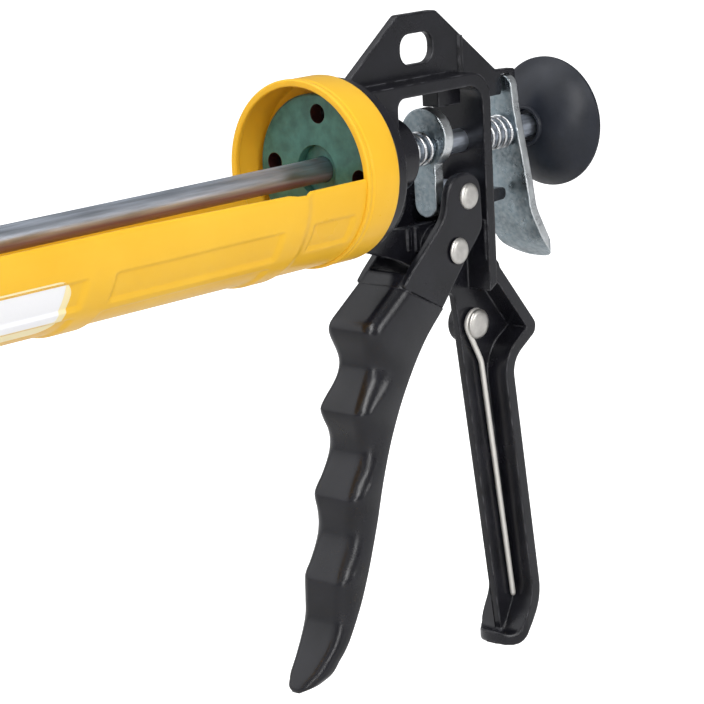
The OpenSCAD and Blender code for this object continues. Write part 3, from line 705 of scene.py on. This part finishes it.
def cradle_sheet(s, quick):
    """Pressed trough as one sheet. Across it the angle runs from edge to edge; the outer skin stands at the
    radius of cradle_radius, the inner one a sheet's thickness below, and half-round rims join them."""
    nx, na = (160, 90) if quick else (330, 120)
    t = s.sheet_t
    x = np.linspace(s.nose_x + 1.6, -s.collar_len + 0.9, nx)
    rim = 90 + np.degrees(np.arcsin(cradle_edge(s, x) / (s.cradle_r - t / 2)))
    deg = rim[:, None] * np.linspace(-1, 1, na)[None, :]
    out_r = cradle_radius(s, x[:, None], deg)
    cap = np.linspace(0, math.pi, 6)[1:-1]
    cap_r = -t / 2 * (1 - np.cos(cap))
    half_t = np.degrees(t / 2 / s.cradle_r)
    deg = deg * (1 - half_t / rim[:, None])
    r_all = np.concatenate([out_r, out_r[:, -1:] + cap_r, out_r[:, ::-1] - t, out_r[:, :1] + cap_r[::-1]], 1)
    end = deg[:, -1:] + half_t * np.sin(cap)
    a_all = np.radians(np.concatenate([deg, end, deg[:, ::-1], -end[:, ::-1]], 1))
    rings = np.stack([np.broadcast_to(x[:, None], r_all.shape), r_all * np.sin(a_all), -r_all * np.cos(a_all)], -1)
    return loft("cradle_sheet", rings, sharp_deg=50, turn_deg=s.cradle_turn)


def collar_ring(s):
    """Closed collar, its half section turned about the rod: bead at the front, straight wall, inward lip at the
    back that reaches down to lip_r."""
    f, r, t, lip_r, back = -s.collar_len, s.cradle_r, s.sheet_t, 20.95, -0.02
    points = [[f, r - 2.0], [f, r - 0.3], [f + 0.4, r + 0.18], [f + 1.2, r + 0.18], [f + 1.7, r - 0.22],
              [f + 2.3, r - 0.22], [f + 2.9, r], [back, r], [back, lip_r], [-t, lip_r], [-t, r - t],
              [f + 2.4, r - t], [f + 1.6, r - 2.0]]
    corners = [0.5, 0.3, 0.3, 0.3, 0.25, 0.25, 0.5, 1.6, 0.5, 0.5, 0.5, 0.6, 0.4]
    profile = rounded(points, corners, 5, closed=True)
    return turned("collar_ring", profile, s.around, turn_deg=s.cradle_turn, sharp_deg=60)


def label_patch(s, name, span, arc, lift, corner):
    """Thin blank sticker on the trough, over a span of x and an arc of degrees from straight down: the trough's
    radius plus lift, and a second skin just below it. Its front corners follow circles of the radius corner."""
    thick = 0.04
    x = span[1] - (span[1] - span[0]) * np.linspace(1, 0, 80) ** 2
    trim = np.where(span[1] - x < corner,
                    corner - np.sqrt(np.maximum(corner**2 - (corner - (span[1] - x)) ** 2, 0)), 0.0)
    trim = np.degrees(trim / s.cradle_r)
    w = np.linspace(0, 1, 40)
    deg = (arc[0] + trim)[:, None] * (1 - w) + (arc[1] - trim)[:, None] * w
    a = np.radians(deg)
    r = cradle_radius(s, x[:, None], deg)
    top, low = (np.stack([np.broadcast_to(x[:, None], r.shape), (r + k) * np.sin(a), -(r + k) * np.cos(a)], -1)
                for k in (lift, lift - thick))
    return loft(name, np.concatenate([top, low[:, ::-1]], 1), sharp_deg=60, turn_deg=s.cradle_turn)


def coil(s, name, x0, x1, turns):
    """Round wire on a helix about the rod. Along the wire the point is (advance(t), R cos t, R sin t), and the
    wire's circle lies across it. The advance is one wire's thickness per turn in the closed end turns and one
    pitch per turn between them."""
    play = 0.02
    w, dia = s.wire_r, 2 * (s.wire_r + play)
    t = np.linspace(0, turns, int(turns * 40))
    pitch = (x1 - x0 - dia - 2 * w) / (turns - 1)
    x = np.where(t < 0.5, t * dia, np.where(t > turns - 0.5, (turns - 1) * pitch + dia * (t - turns + 1),
                                             dia / 2 + (t - 0.5) * pitch))
    x = x0 + w + play + x * (x1 - x0 - dia) / x.max()
    a = t * 2 * math.pi
    b = np.linspace(0, 2 * math.pi, 12, endpoint=False)
    r = s.coil_r + w * np.cos(b)[None, :]
    rings = np.stack([x[:, None] + w * np.sin(b)[None, :], r * np.cos(a)[:, None], r * np.sin(a)[:, None]], -1)
    return loft(name, rings, sharp_deg=70)


def rivet_head(name, c, half, radius, height, side):
    """Low domed rivet head on the face at y = half: radius and height follow a flattened quarter circle, with a
    shallow ring left by the riveting tool, a bell curve of the radius."""
    mark_deep, mark_at, mark_wide, around = 0.05, 0.45, 0.16, 48
    u = np.linspace(0, 1, 14)
    rr = radius * (1 - 0.10 * u**2) * np.cos(u * math.pi / 2) ** 0.42
    hh = height * np.sin(u * math.pi / 2)
    hh = hh - mark_deep * np.exp(-((rr / radius - mark_at) / mark_wide) ** 2) * (u > 0.3)
    rr, hh = rr[:-1], hh[:-1]
    a = np.linspace(0, 2 * math.pi, around, endpoint=False)
    rings = np.stack([c[0] + np.outer(rr, np.cos(a)),
                      np.broadcast_to((side * (half + hh))[:, None], (len(rr), around)),
                      c[1] + np.outer(rr, np.sin(a))], -1)
    return loft(name, rings, sharp_deg=40)


def pierce_wire(s, centre, tip, y):
    """Round wire carried along a path in the plane at y: most of a circle round the rivet, a short slant, one bend
    and the long run to the tip, where the last rings shrink to a blunt point."""
    knee_off, bend_r, eye_bore, eye_turn = [2.0, -12.3], 8.0, 3.09, math.radians(289)
    eye = s.pierce_r + eye_bore
    knee = np.array(centre) + knee_off
    to_knee = knee - centre
    leave = math.atan2(to_knee[1], to_knee[0]) - math.acos(eye / np.linalg.norm(to_knee))
    start = np.array(centre) + eye * np.array([math.cos(leave), math.sin(leave)])
    loop = arc_points(centre, eye, leave - eye_turn, leave, 64)
    line = np.vstack([loop[:-1], rounded([start, knee, tip], [0, bend_r, 0], 10)])
    gap = np.linalg.norm(np.diff(line, axis=0), axis=1)
    line = line[np.concatenate([[True], gap > 1e-4])]
    last = line[-1]
    ahead = (last - line[-2]) / np.linalg.norm(last - line[-2])
    line = np.vstack([line[:-1], last - 1.2 * ahead, last - 0.35 * ahead, last])
    way = np.gradient(line, axis=0)
    way /= np.linalg.norm(way, axis=1)[:, None]
    side = np.column_stack([-way[:, 1], way[:, 0]])
    b = np.linspace(0, 2 * math.pi, 20, endpoint=False)
    r = np.full(len(line), s.pierce_r)
    r[0] *= 0.7
    r[-2:] *= [0.8, 0.35]
    across = r[:, None] * np.cos(b)
    rings = np.stack([line[:, :1] + side[:, :1] * across, y + r[:, None] * np.sin(b),
                      line[:, 1:] + side[:, 1:] * across], -1)
    return loft("piercing_wire_rod", rings, sharp_deg=50)


def rod_profile(s):
    """Half section of the push rod as [x, radius]: a stud with a small chamfer at the front, then the bar."""
    stud_r, stud_len, bar_end = 2.58, 8.0, 101.6
    tip = s.nose_x + 2.0
    back = tip + stud_len
    return [[tip, 0], [tip, 2.2], [tip + 0.4, stud_r], [back, stud_r], [back, s.rod_r - 0.15],
            [back + 0.2, s.rod_r], [bar_end, s.rod_r], [bar_end, 0]]


def knob_profile(s):
    """Half section of the knob as [x, radius]. Its bell runs with u from 0 to 1 as x = bell_x + bell_len (0.35 u
    + 0.65 (1 - cos u) / (1 - cos 1)), and its radius grows from bell_r to the rim's with sin u / sin 1. The back
    is a cap of a sphere that is cap_h high, and a hub with a bore stands inside the bell."""
    bell_x, bell_len, bell_r, rim_x, cap_top, cap_h = 89.2, 10.0, 6.4, 99.2, 107.9, 6.6
    bore_x, hub_x = 91.0, 88.02
    r = s.knob_r
    u = np.linspace(0, 1, 24)
    flare = np.column_stack([bell_x + bell_len * (0.35 * u + 0.65 * (1 - np.cos(u)) / (1 - math.cos(1.0))),
                             bell_r + (r - 0.6 - bell_r) * np.sin(u) / math.sin(1.0)])
    cap_r = ((r - 0.5) ** 2 + cap_h**2) / (2 * cap_h)
    a = np.arcsin((r - 0.5) / cap_r) * np.linspace(1, 0, 20)
    dome = np.column_stack([cap_top - cap_r * (1 - np.cos(a)), cap_r * np.sin(a)])
    edge = rounded([[rim_x, r - 0.6], [rim_x + 0.8, r], [rim_x + 1.7, r], dome[0]], [0.3, 0.35, 0.4, 0.3], 4)
    hub = rounded([[bore_x, s.rod_r + 0.05], [bore_x, 5.0], [hub_x, 5.4], [hub_x, 6.2], [bell_x, bell_r]],
                  [0, 0.2, 0.25, 0.4, 0.2], 4)
    return np.vstack([[[bore_x, 0]], hub, flare[1:-1], edge[1:-1], dome])


# ---------- trigger ----------

# Lines of the finger grip as (z, x) in millimetres, and its half width as (z, share of the full one). HOLLOWS are
# the depths between the crests, and CREST_SOFT is the curved share of the shoulder over the first crest.
CRESTS = [(-49.0, 2.6), (-72.5, -2.9), (-97.5, -7.5), (-121.5, -14.0)]
HOLLOWS = [4.7, 4.7, 3.0]
CREST_SOFT = 0.24
GRIP_TOP = (-34.8, 20.6)
SEAM_Z = -37.6
SEAM_SLOPE = 0.53
TIP_Z = -152.36
TIP = [(-115, -12.6), (-121.5, -14), (-128, -14.6), (-134.5, -15.6), (-140.5, -18.6), (-146, -23.2),
       (-149.2, -26.4), (-151.2, -27.85), (TIP_Z, -27.5)]
REAR = [(-34.8, 46.6), (-42.6, 40.3), (-55.6, 26.4), (-67.8, 17.4), (-81.2, 10.2), (-94.2, 5.3), (-106.6, 1.8),
        (-122.2, -3.5), (-135, -9.0), (-144.5, -14.8), (-149.6, -19.4), (-151.3, -22.8), (TIP_Z, -26.9)]
WIDTH = [(-34.8, 1), (-60, 0.99), (-110, 0.95), (-132, 0.88), (-144, 0.74), (-149.6, 0.54), (-151.4, 0.36),
         (TIP_Z, 0.16)]


def hollow_depth(z):
    """0 on a crest and 1 in the middle of a finger hollow: a sine between crests, to the power 1.5."""
    z = np.asarray(z, dtype=float)
    cz = np.array(CRESTS)[:, 0]
    out = np.zeros_like(z)
    for i in range(len(HOLLOWS)):
        u = (cz[i] - z) / (cz[i] - cz[i + 1])
        out = np.where((u >= 0) & (u < 1), np.sin(math.pi * np.clip(u, 0, 1)) ** 1.5, out)
    return out


def grip_front(z):
    """Front line of the finger grip: a straight shoulder, three scallops between crests, then the beak."""
    z = np.asarray(z, dtype=float)
    cz, cx = np.array(CRESTS).T
    x = eased(TIP, z)
    for i in range(len(HOLLOWS)):
        u = (cz[i] - z) / (cz[i] - cz[i + 1])
        arc = cx[i] + (cx[i + 1] - cx[i]) * u + HOLLOWS[i] * hollow_depth(z)
        x = np.where((u >= 0) & (u < 1), arc, x)
    u = (z - cz[0]) / (GRIP_TOP[0] - cz[0])
    soft = np.where(u < CREST_SOFT, u * u / CREST_SOFT / 2, u - CREST_SOFT / 2) / (1 - CREST_SOFT / 2)
    return np.where(z > cz[0], cx[0] + (GRIP_TOP[1] - cx[0]) * soft, x)


def grip_skin(s, quick):
    """Finger grip as a channel open to the rear. Each level is a U: a flat rear edge, straight sides, and two
    front corners that are quarter ellipses of rx along the depth and ry across it. Levels slope at the seam and
    grow level further down; the corners grow in the finger hollows, so that these fade towards the flat sides.
    The channel's inside closes towards the tip."""
    levels = 150 if quick else 300
    wall, least_side, least_half = 3.0, 1.2, 0.05
    u = np.linspace(0, 1, levels)
    z = SEAM_Z + (TIP_Z - SEAM_Z) * (1 - (1 - u) ** 1.15)
    xf = grip_front(z)
    tilt = SEAM_SLOPE * (1 - smooth((SEAM_Z - z) / 45.0))
    zr = z.copy()
    for _ in range(12):
        zr = z - tilt * np.maximum(eased(REAR, zr) - xf, 0)
    xr = eased(REAR, zr)
    half = s.trigger_half * eased(WIDTH, z)
    deep = np.maximum(xr - xf, 0.2)
    edge = np.minimum(0.6, 0.08 * deep)
    rx = np.minimum(5.0 + 4.6 * hollow_depth(z), 0.62 * deep)[:, None]
    ry = np.minimum(4.4 + 1.6 * hollow_depth(z), 0.8 * half)[:, None]
    a = np.linspace(0, math.pi / 2, 14)
    outer_x = np.hstack([np.column_stack([deep, deep - 0.3 * edge, deep - edge]), rx * (1 - np.sin(a))])
    outer_y = np.hstack([np.column_stack([half - edge, half - 0.3 * edge, half]),
                         half[:, None] - ry * (1 - np.cos(a))])

    opening = smooth((z + 146.0) / 10.0)
    x_in = np.minimum(deep, deep - (deep - wall) * opening)
    h_in = np.where(opening > 0, np.minimum(s.cheek_in, half - least_side), half - edge)
    h_in = np.maximum(np.minimum(h_in, half - edge), least_half)
    q = np.minimum(np.minimum(1.5, 0.4 * np.maximum(deep - x_in, 0.01)), 0.4 * h_in)
    inner_x = np.column_stack([deep, x_in + q, x_in + 0.3 * q, x_in])
    inner_y = np.column_stack([h_in, h_in, h_in - 0.3 * q, h_in - q])

    across = np.hstack([-outer_y, outer_y[:, ::-1], inner_y, -inner_y[:, ::-1]])
    frac = np.hstack([outer_x, outer_x[:, ::-1], inner_x, inner_x[:, ::-1]]) / deep[:, None]
    px = xf[:, None] + frac * (xr - xf)[:, None]
    pz = z[:, None] + frac * (zr - z)[:, None]
    return loft("trigger_grip", np.stack([px, across, pz], -1), sharp_deg=42)


def cheek(s, side):
    """One cheek of the trigger, a flat outline with rounded corners: a lug over the drive pin, running down to the
    seam."""
    pts = [[40.4, -8.3], [54.6, -7.9], [55.2, -26], [46.4, -34.9], [35.1, -47.3], [17.9, -37.9], [20.9, -34.9],
           [38, -20.2]]
    outline = rounded(pts, [8, 6.4, 6, 2, 0.5, 0.8, 1.2, 9], 8, closed=True)
    name = "trigger_cheek_%s" % ("near" if side < 0 else "far")
    return plate(name, outline, s.cheek_in, s.cheek_half, side, 0.45)


def bridge(s):
    """Front wall between the cheeks: a U of outer corner radius r and thickness t at four levels, level at the top
    edge and sloped like the seam at the bottom, z = z0 - slope x."""
    h, r, t = s.cheek_half, 4.4, 2.6
    z0, slope = np.array([[-34.85, 0.0], [-35.3, 0.1], [-36.3, 0.3], [-37.75, SEAM_SLOPE]]).T[:, :, None]
    a = np.linspace(0, math.pi / 2, 8)
    arc_x, arc_y = r * (1 - np.sin(a)), h - r * (1 - np.cos(a))
    in_x, in_y = t + (r - t) * (1 - np.sin(a)), s.cheek_in - (r - t) * (1 - np.cos(a))
    deep = np.concatenate([arc_x, arc_x[::-1], in_x, in_x[::-1]])
    across = np.concatenate([arc_y, -arc_y[::-1], -in_y, in_y[::-1]])
    px = grip_front(z0) + 0.1 + deep
    rings = np.stack([px, np.broadcast_to(across, px.shape), z0 - slope * deep], -1)
    obj = loft("trigger_bridge", rings, sharp_deg=40)
    add_bevel(obj, 0.35, 3, 40)
    return obj


# ---------- operators ----------


class GUN_OT_cradle(Operator):
    """Cradle sheet, collar and blank label"""

    bl_idname = "gun.cradle"
    bl_label = "Cradle"

    def execute(self, context):
        s, c = settings(context)
        paint = enamel(c)
        sheet = finish_piece(cradle_sheet(s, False), paint, "cradle")
        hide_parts("cradle")
        finish_piece(collar_ring(s), paint, "cradle")
        film = label_patch(s, "label_film", (-226.0, -121.8), (-68.0, -26.0), lift=0.06, corner=6.0)
        finish_piece(film, label_stock("label_film", c.film, 0.3), "cradle")
        paper = label_patch(s, "label_paper", (-224.0, -124.4), (-66.3, -40.0), lift=0.18, corner=0.9)
        finish_piece(paper, label_stock("label_paper", c.paper, 0.45), "cradle")
        return {"FINISHED"}


class GUN_OT_nose(Operator):
    """Nose plate and its rivets"""

    bl_idname = "gun.nose"
    bl_label = "Nose"

    def execute(self, context):
        c = context.scene.gun_colours
        finish_piece(cad_copy("nose_plate", 0.35, 3), enamel(c), "cradle")
        finish_piece(cad_copy("nose_rivets", 0.0, 1), rivet_steel(c), "cradle")
        return {"FINISHED"}


class GUN_OT_disc(Operator):
    """Retaining disc with its four holes"""

    bl_idname = "gun.disc"
    bl_label = "Retaining disc"

    def execute(self, context):
        circle_r, first_turn = 0.0167, 5.0
        recess_down, ring_in, ring_out, ring_t = 1.5, 3.68, 7.42, 0.12
        turns = [math.radians(first_turn + 90.0 * k) for k in range(4)]
        holes = [(-circle_r * math.sin(t), circle_r * math.cos(t)) for t in turns]
        coat = teal_coat(context.scene.gun_colours, holes)
        finish_piece(cad_copy("retaining_disc", 0.0, 3), coat, "frame")
        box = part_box("retaining_disc")
        x = box[1][0] / MM - recess_down
        line = [[x - 0.02, ring_in], [x - ring_t, ring_in + ring_t], [x - ring_t, ring_out - ring_t],
                [x - 0.02, ring_out]]
        washer = turned("disc_recess", line, 64)
        finish_piece(washer, coat, "frame")
        return {"FINISHED"}


class GUN_OT_body(Operator):
    """Cast body and handle, with the piercing wire and its rivet"""

    bl_idname = "gun.body"
    bl_label = "Body and handle"

    def execute(self, context):
        s, c = settings(context)
        web_half, head_r, head_h = 3.6, 4.65, 1.2
        wire_tip, wire_y = (71.36, -149.15), -2.4
        body = cad_copy("body_frame", 0.45, 3, 28, soft_below=-0.158, soft_mm=0.85)
        finish_piece(body, powder_coat(c), "frame")
        for side in (-1, 1):
            head = rivet_head("handle_rivet_%d" % (side > 0), HANDLE_RIVET, web_half, head_r, head_h, side)
            finish_piece(head, rivet_steel(c), "frame")
            if side < 0:
                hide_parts("handle_rivet")
        wire = pierce_wire(s, HANDLE_RIVET, wire_tip, wire_y)
        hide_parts("piercing_wire")
        finish_piece(wire, wire_steel(c), "piercer")
        return {"FINISHED"}


class GUN_OT_rod(Operator):
    """Push rod, piston and pull knob"""

    bl_idname = "gun.rod"
    bl_label = "Rod and knob"

    def execute(self, context):
        s, c = settings(context)
        rod = turned_on_axis("push_rod_bar", rod_profile(s), 64)
        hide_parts("push_rod")
        finish_piece(rod, rod_steel(c), "rod")
        for node in ("piston_plate", "piston_backer", "piston_nut"):
            finish_piece(cad_copy(node, 0.2, 2), zinc(c), "rod")
        knob = turned_on_axis("knob_turned", knob_profile(s), s.around, sharp_deg=40)
        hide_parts("knob")
        finish_piece(knob, knob_plastic(c), "rod")
        return {"FINISHED"}


class GUN_OT_drive(Operator):
    """Drive plate, roller and drive spring"""

    bl_idname = "gun.drive"
    bl_label = "Drive"

    def execute(self, context):
        s, c = settings(context)
        finish_piece(cad_copy("drive_plate", 0.8, 4), zinc(c), "drive")
        finish_piece(cad_copy("drive_roller", 0.3, 2), rod_steel(c), "roller")
        spring = coil(s, "drive_spring_coil", x0=25.62, x1=40.18, turns=5)
        spring.data.materials.append(spring_steel(c))
        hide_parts("drive_spring")
        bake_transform(spring)
        return {"FINISHED"}


class GUN_OT_release(Operator):
    """Release lever and release spring"""

    bl_idname = "gun.release"
    bl_label = "Release lever"

    def execute(self, context):
        s, c = settings(context)
        finish_piece(cad_copy("release_lever", 0.55, 3), zinc(c), "release")
        spring = coil(s, "release_spring_coil", x0=60.52, x1=77.72, turns=6)
        spring.data.materials.append(spring_steel(c))
        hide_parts("release_spring")
        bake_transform(spring)
        return {"FINISHED"}


class GUN_OT_trigger(Operator):
    """Trigger grip, cheeks, bridge and rivets"""

    bl_idname = "gun.trigger"
    bl_label = "Trigger"

    def execute(self, context):
        s, c = settings(context)
        pin_half, pivot_half, head_r = 9.6, 10.3, 4.05
        paint = powder_coat(c)
        grip = grip_skin(s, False)
        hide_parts("trigger")
        finish_piece(grip, paint, "trigger")
        finish_piece(bridge(s), paint, "trigger")
        for side in (-1, 1):
            finish_piece(cheek(s, side), paint, "trigger")
            mark = "near" if side < 0 else "far"
            pin = rivet_head("drive_pin_" + mark, DRIVE_PIN, pin_half, head_r, 1.45, side)
            finish_piece(pin, rivet_steel(c), "trigger")
            axle = rivet_head("pivot_rivet_" + mark, PIVOT, pivot_half, head_r, 1.1, side)
            finish_piece(axle, rivet_steel(c), "frame")
            if side < 0:
                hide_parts("drive_pin")
                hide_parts("pivot_rivet")
        return {"FINISHED"}


# Name, place, target, width and height in metres, and power in watts
LIGHTS = (("key", (-0.50, -0.90, 0.85), (-0.02, 0, -0.05), 0.28, 1.0, 9.5),
          ("front", (-1.00, -1.10, 0.22), (0.0, 0, -0.05), 0.20, 0.6, 4.2),
          ("top", (-0.1, 0.25, 1.4), (0, 0, 0), 1.2, 1.2, 5.5),
          ("side", (0.45, -1.30, 0.30), (0.03, 0, -0.05), 0.25, 0.6, 4))


def area_light(name, place, target, wide, tall, power):
    """A rectangular soft light at place, aimed at target, in metres and watts."""
    data = bpy.data.lights.new(name, "AREA")
    data.shape = "RECTANGLE"
    data.size, data.size_y, data.energy = wide, tall, power
    obj = bpy.data.objects.new(name, data)
    aim = (Vector(target) - Vector(place)).to_track_quat("-Z", "Y")
    obj.matrix_world = Matrix.Translation(place) @ aim.to_matrix().to_4x4()
    bpy.context.scene.collection.objects.link(obj)
    obj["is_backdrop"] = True
    return obj


class GUN_OT_stage(Operator):
    """Floor, soft lights, sky and camera"""

    bl_idname = "gun.stage"
    bl_label = "Stage"

    def sky(self, scene):
        """Dim sky with one wide soft patch of light high on the front left, found from the angle between the view
        and the patch's direction; plain white where the camera sees it."""
        world = scene.world or bpy.data.worlds.new("studio")
        scene.world = world
        world.use_nodes = True
        tree = world.node_tree
        back = tree.nodes.get("Background")
        back.inputs["Color"].default_value = (0.97, 0.98, 1.0, 1)
        coord, dot = tree.nodes.new("ShaderNodeTexCoord"), tree.nodes.new("ShaderNodeVectorMath")
        dot.operation = "DOT_PRODUCT"
        dot.inputs[1].default_value = (-0.60, 0.48, 0.64)
        patch = tree.nodes.new("ShaderNodeMapRange")
        patch.interpolation_type = "SMOOTHSTEP"
        for name, value in (("From Min", 0.45), ("From Max", 1.0), ("To Min", 0.26), ("To Max", 1.5)):
            patch.inputs[name].default_value = value
        path, mix = tree.nodes.new("ShaderNodeLightPath"), tree.nodes.new("ShaderNodeMix")
        mix.data_type = "FLOAT"
        mix.inputs["B"].default_value = 1.0
        tree.links.new(coord.outputs["Generated"], dot.inputs[0])
        tree.links.new(dot.outputs["Value"], patch.inputs["Value"])
        tree.links.new(path.outputs["Is Camera Ray"], mix.inputs["Factor"])
        tree.links.new(patch.outputs["Result"], mix.inputs["A"])
        tree.links.new(mix.outputs["Result"], back.inputs["Strength"])

    def execute(self, context):
        scene = context.scene
        drop, half = 10.0, 9000.0
        # the pulled trigger swings lower than the lowest point at rest, so the floor lies below it by drop
        floor_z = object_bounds()[0][2] / MM - drop
        floor = mesh_object("floor", [[-half, -half, floor_z], [half, -half, floor_z], [half, half, floor_z],
                                      [-half, half, floor_z]], [[0, 1, 2, 3]])
        shade = Shader("floor_paper", (0.74, 0.74, 0.74), roughness=0.9)
        shade.bsdf.inputs["Emission Color"].default_value = (1.0, 1.0, 1.0, 1.0)
        seen = shade.node("ShaderNodeLightPath").outputs["Is Camera Ray"]
        shade.set("Emission Strength", shade.remap(seen, 0.0, 1.0, 0.0, 0.85))
        floor.data.materials.append(shade.mat)
        floor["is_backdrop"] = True
        for light in LIGHTS:
            area_light(*light)
        self.sky(scene)
        data = bpy.data.cameras.new("camera")
        data.lens, data.sensor_width = 132.95, 36.0
        data.clip_start, data.clip_end = 0.05, 50
        cam = bpy.data.objects.new("camera", data)
        scene.collection.objects.link(cam)
        right = Vector((0.676838, -0.734362, -0.051026))
        up = Vector((0.198353, 0.115185, 0.973339))
        back = Vector((-0.708905, -0.668912, 0.223624))
        place = Vector((-0.53959, -0.51342, 0.115966))
        cam.matrix_world = Matrix.Translation(place) @ Matrix((right, up, back)).transposed().to_4x4()
        scene.camera = cam
        scene.view_settings.view_transform = "Standard"
        scene.view_settings.look = "None"
        return {"FINISHED"}


class GUN_PT_panel(Panel):
    """Sidebar panel with the sizes, the colours and the build buttons"""

    bl_idname = "GUN_PT_panel"
    bl_label = "Caulking Gun"
    bl_space_type = "VIEW_3D"
    bl_region_type = "UI"
    bl_category = "Caulking Gun"

    def draw(self, context):
        col = self.layout.column()
        for group in (context.scene.gun_sizes, context.scene.gun_colours):
            for name in group.__annotations__:
                col.prop(group, name)
        for op in OPERATORS:
            col.operator(op.bl_idname)


OPERATORS = (GUN_OT_cradle, GUN_OT_nose, GUN_OT_disc, GUN_OT_body, GUN_OT_rod, GUN_OT_drive, GUN_OT_release,
             GUN_OT_trigger, GUN_OT_stage)
CLASSES = (GunSizes, GunColours, *OPERATORS, GUN_PT_panel)


def register():
    """Registers the classes and puts the sizes and colours on the scene."""
    for cls in CLASSES:
        bpy.utils.register_class(cls)
    bpy.types.Scene.gun_sizes = PointerProperty(type=GunSizes)
    bpy.types.Scene.gun_colours = PointerProperty(type=GunColours)


def unregister():
    """Takes away what register added."""
    del bpy.types.Scene.gun_sizes
    del bpy.types.Scene.gun_colours
    for cls in reversed(CLASSES):
        bpy.utils.unregister_class(cls)


def main():
    """Builds every piece and the stage."""
    register()
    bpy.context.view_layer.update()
    for op in OPERATORS:
        getattr(bpy.ops.gun, op.bl_idname.split(".")[1])()


if __name__ == "__main__":
    main()
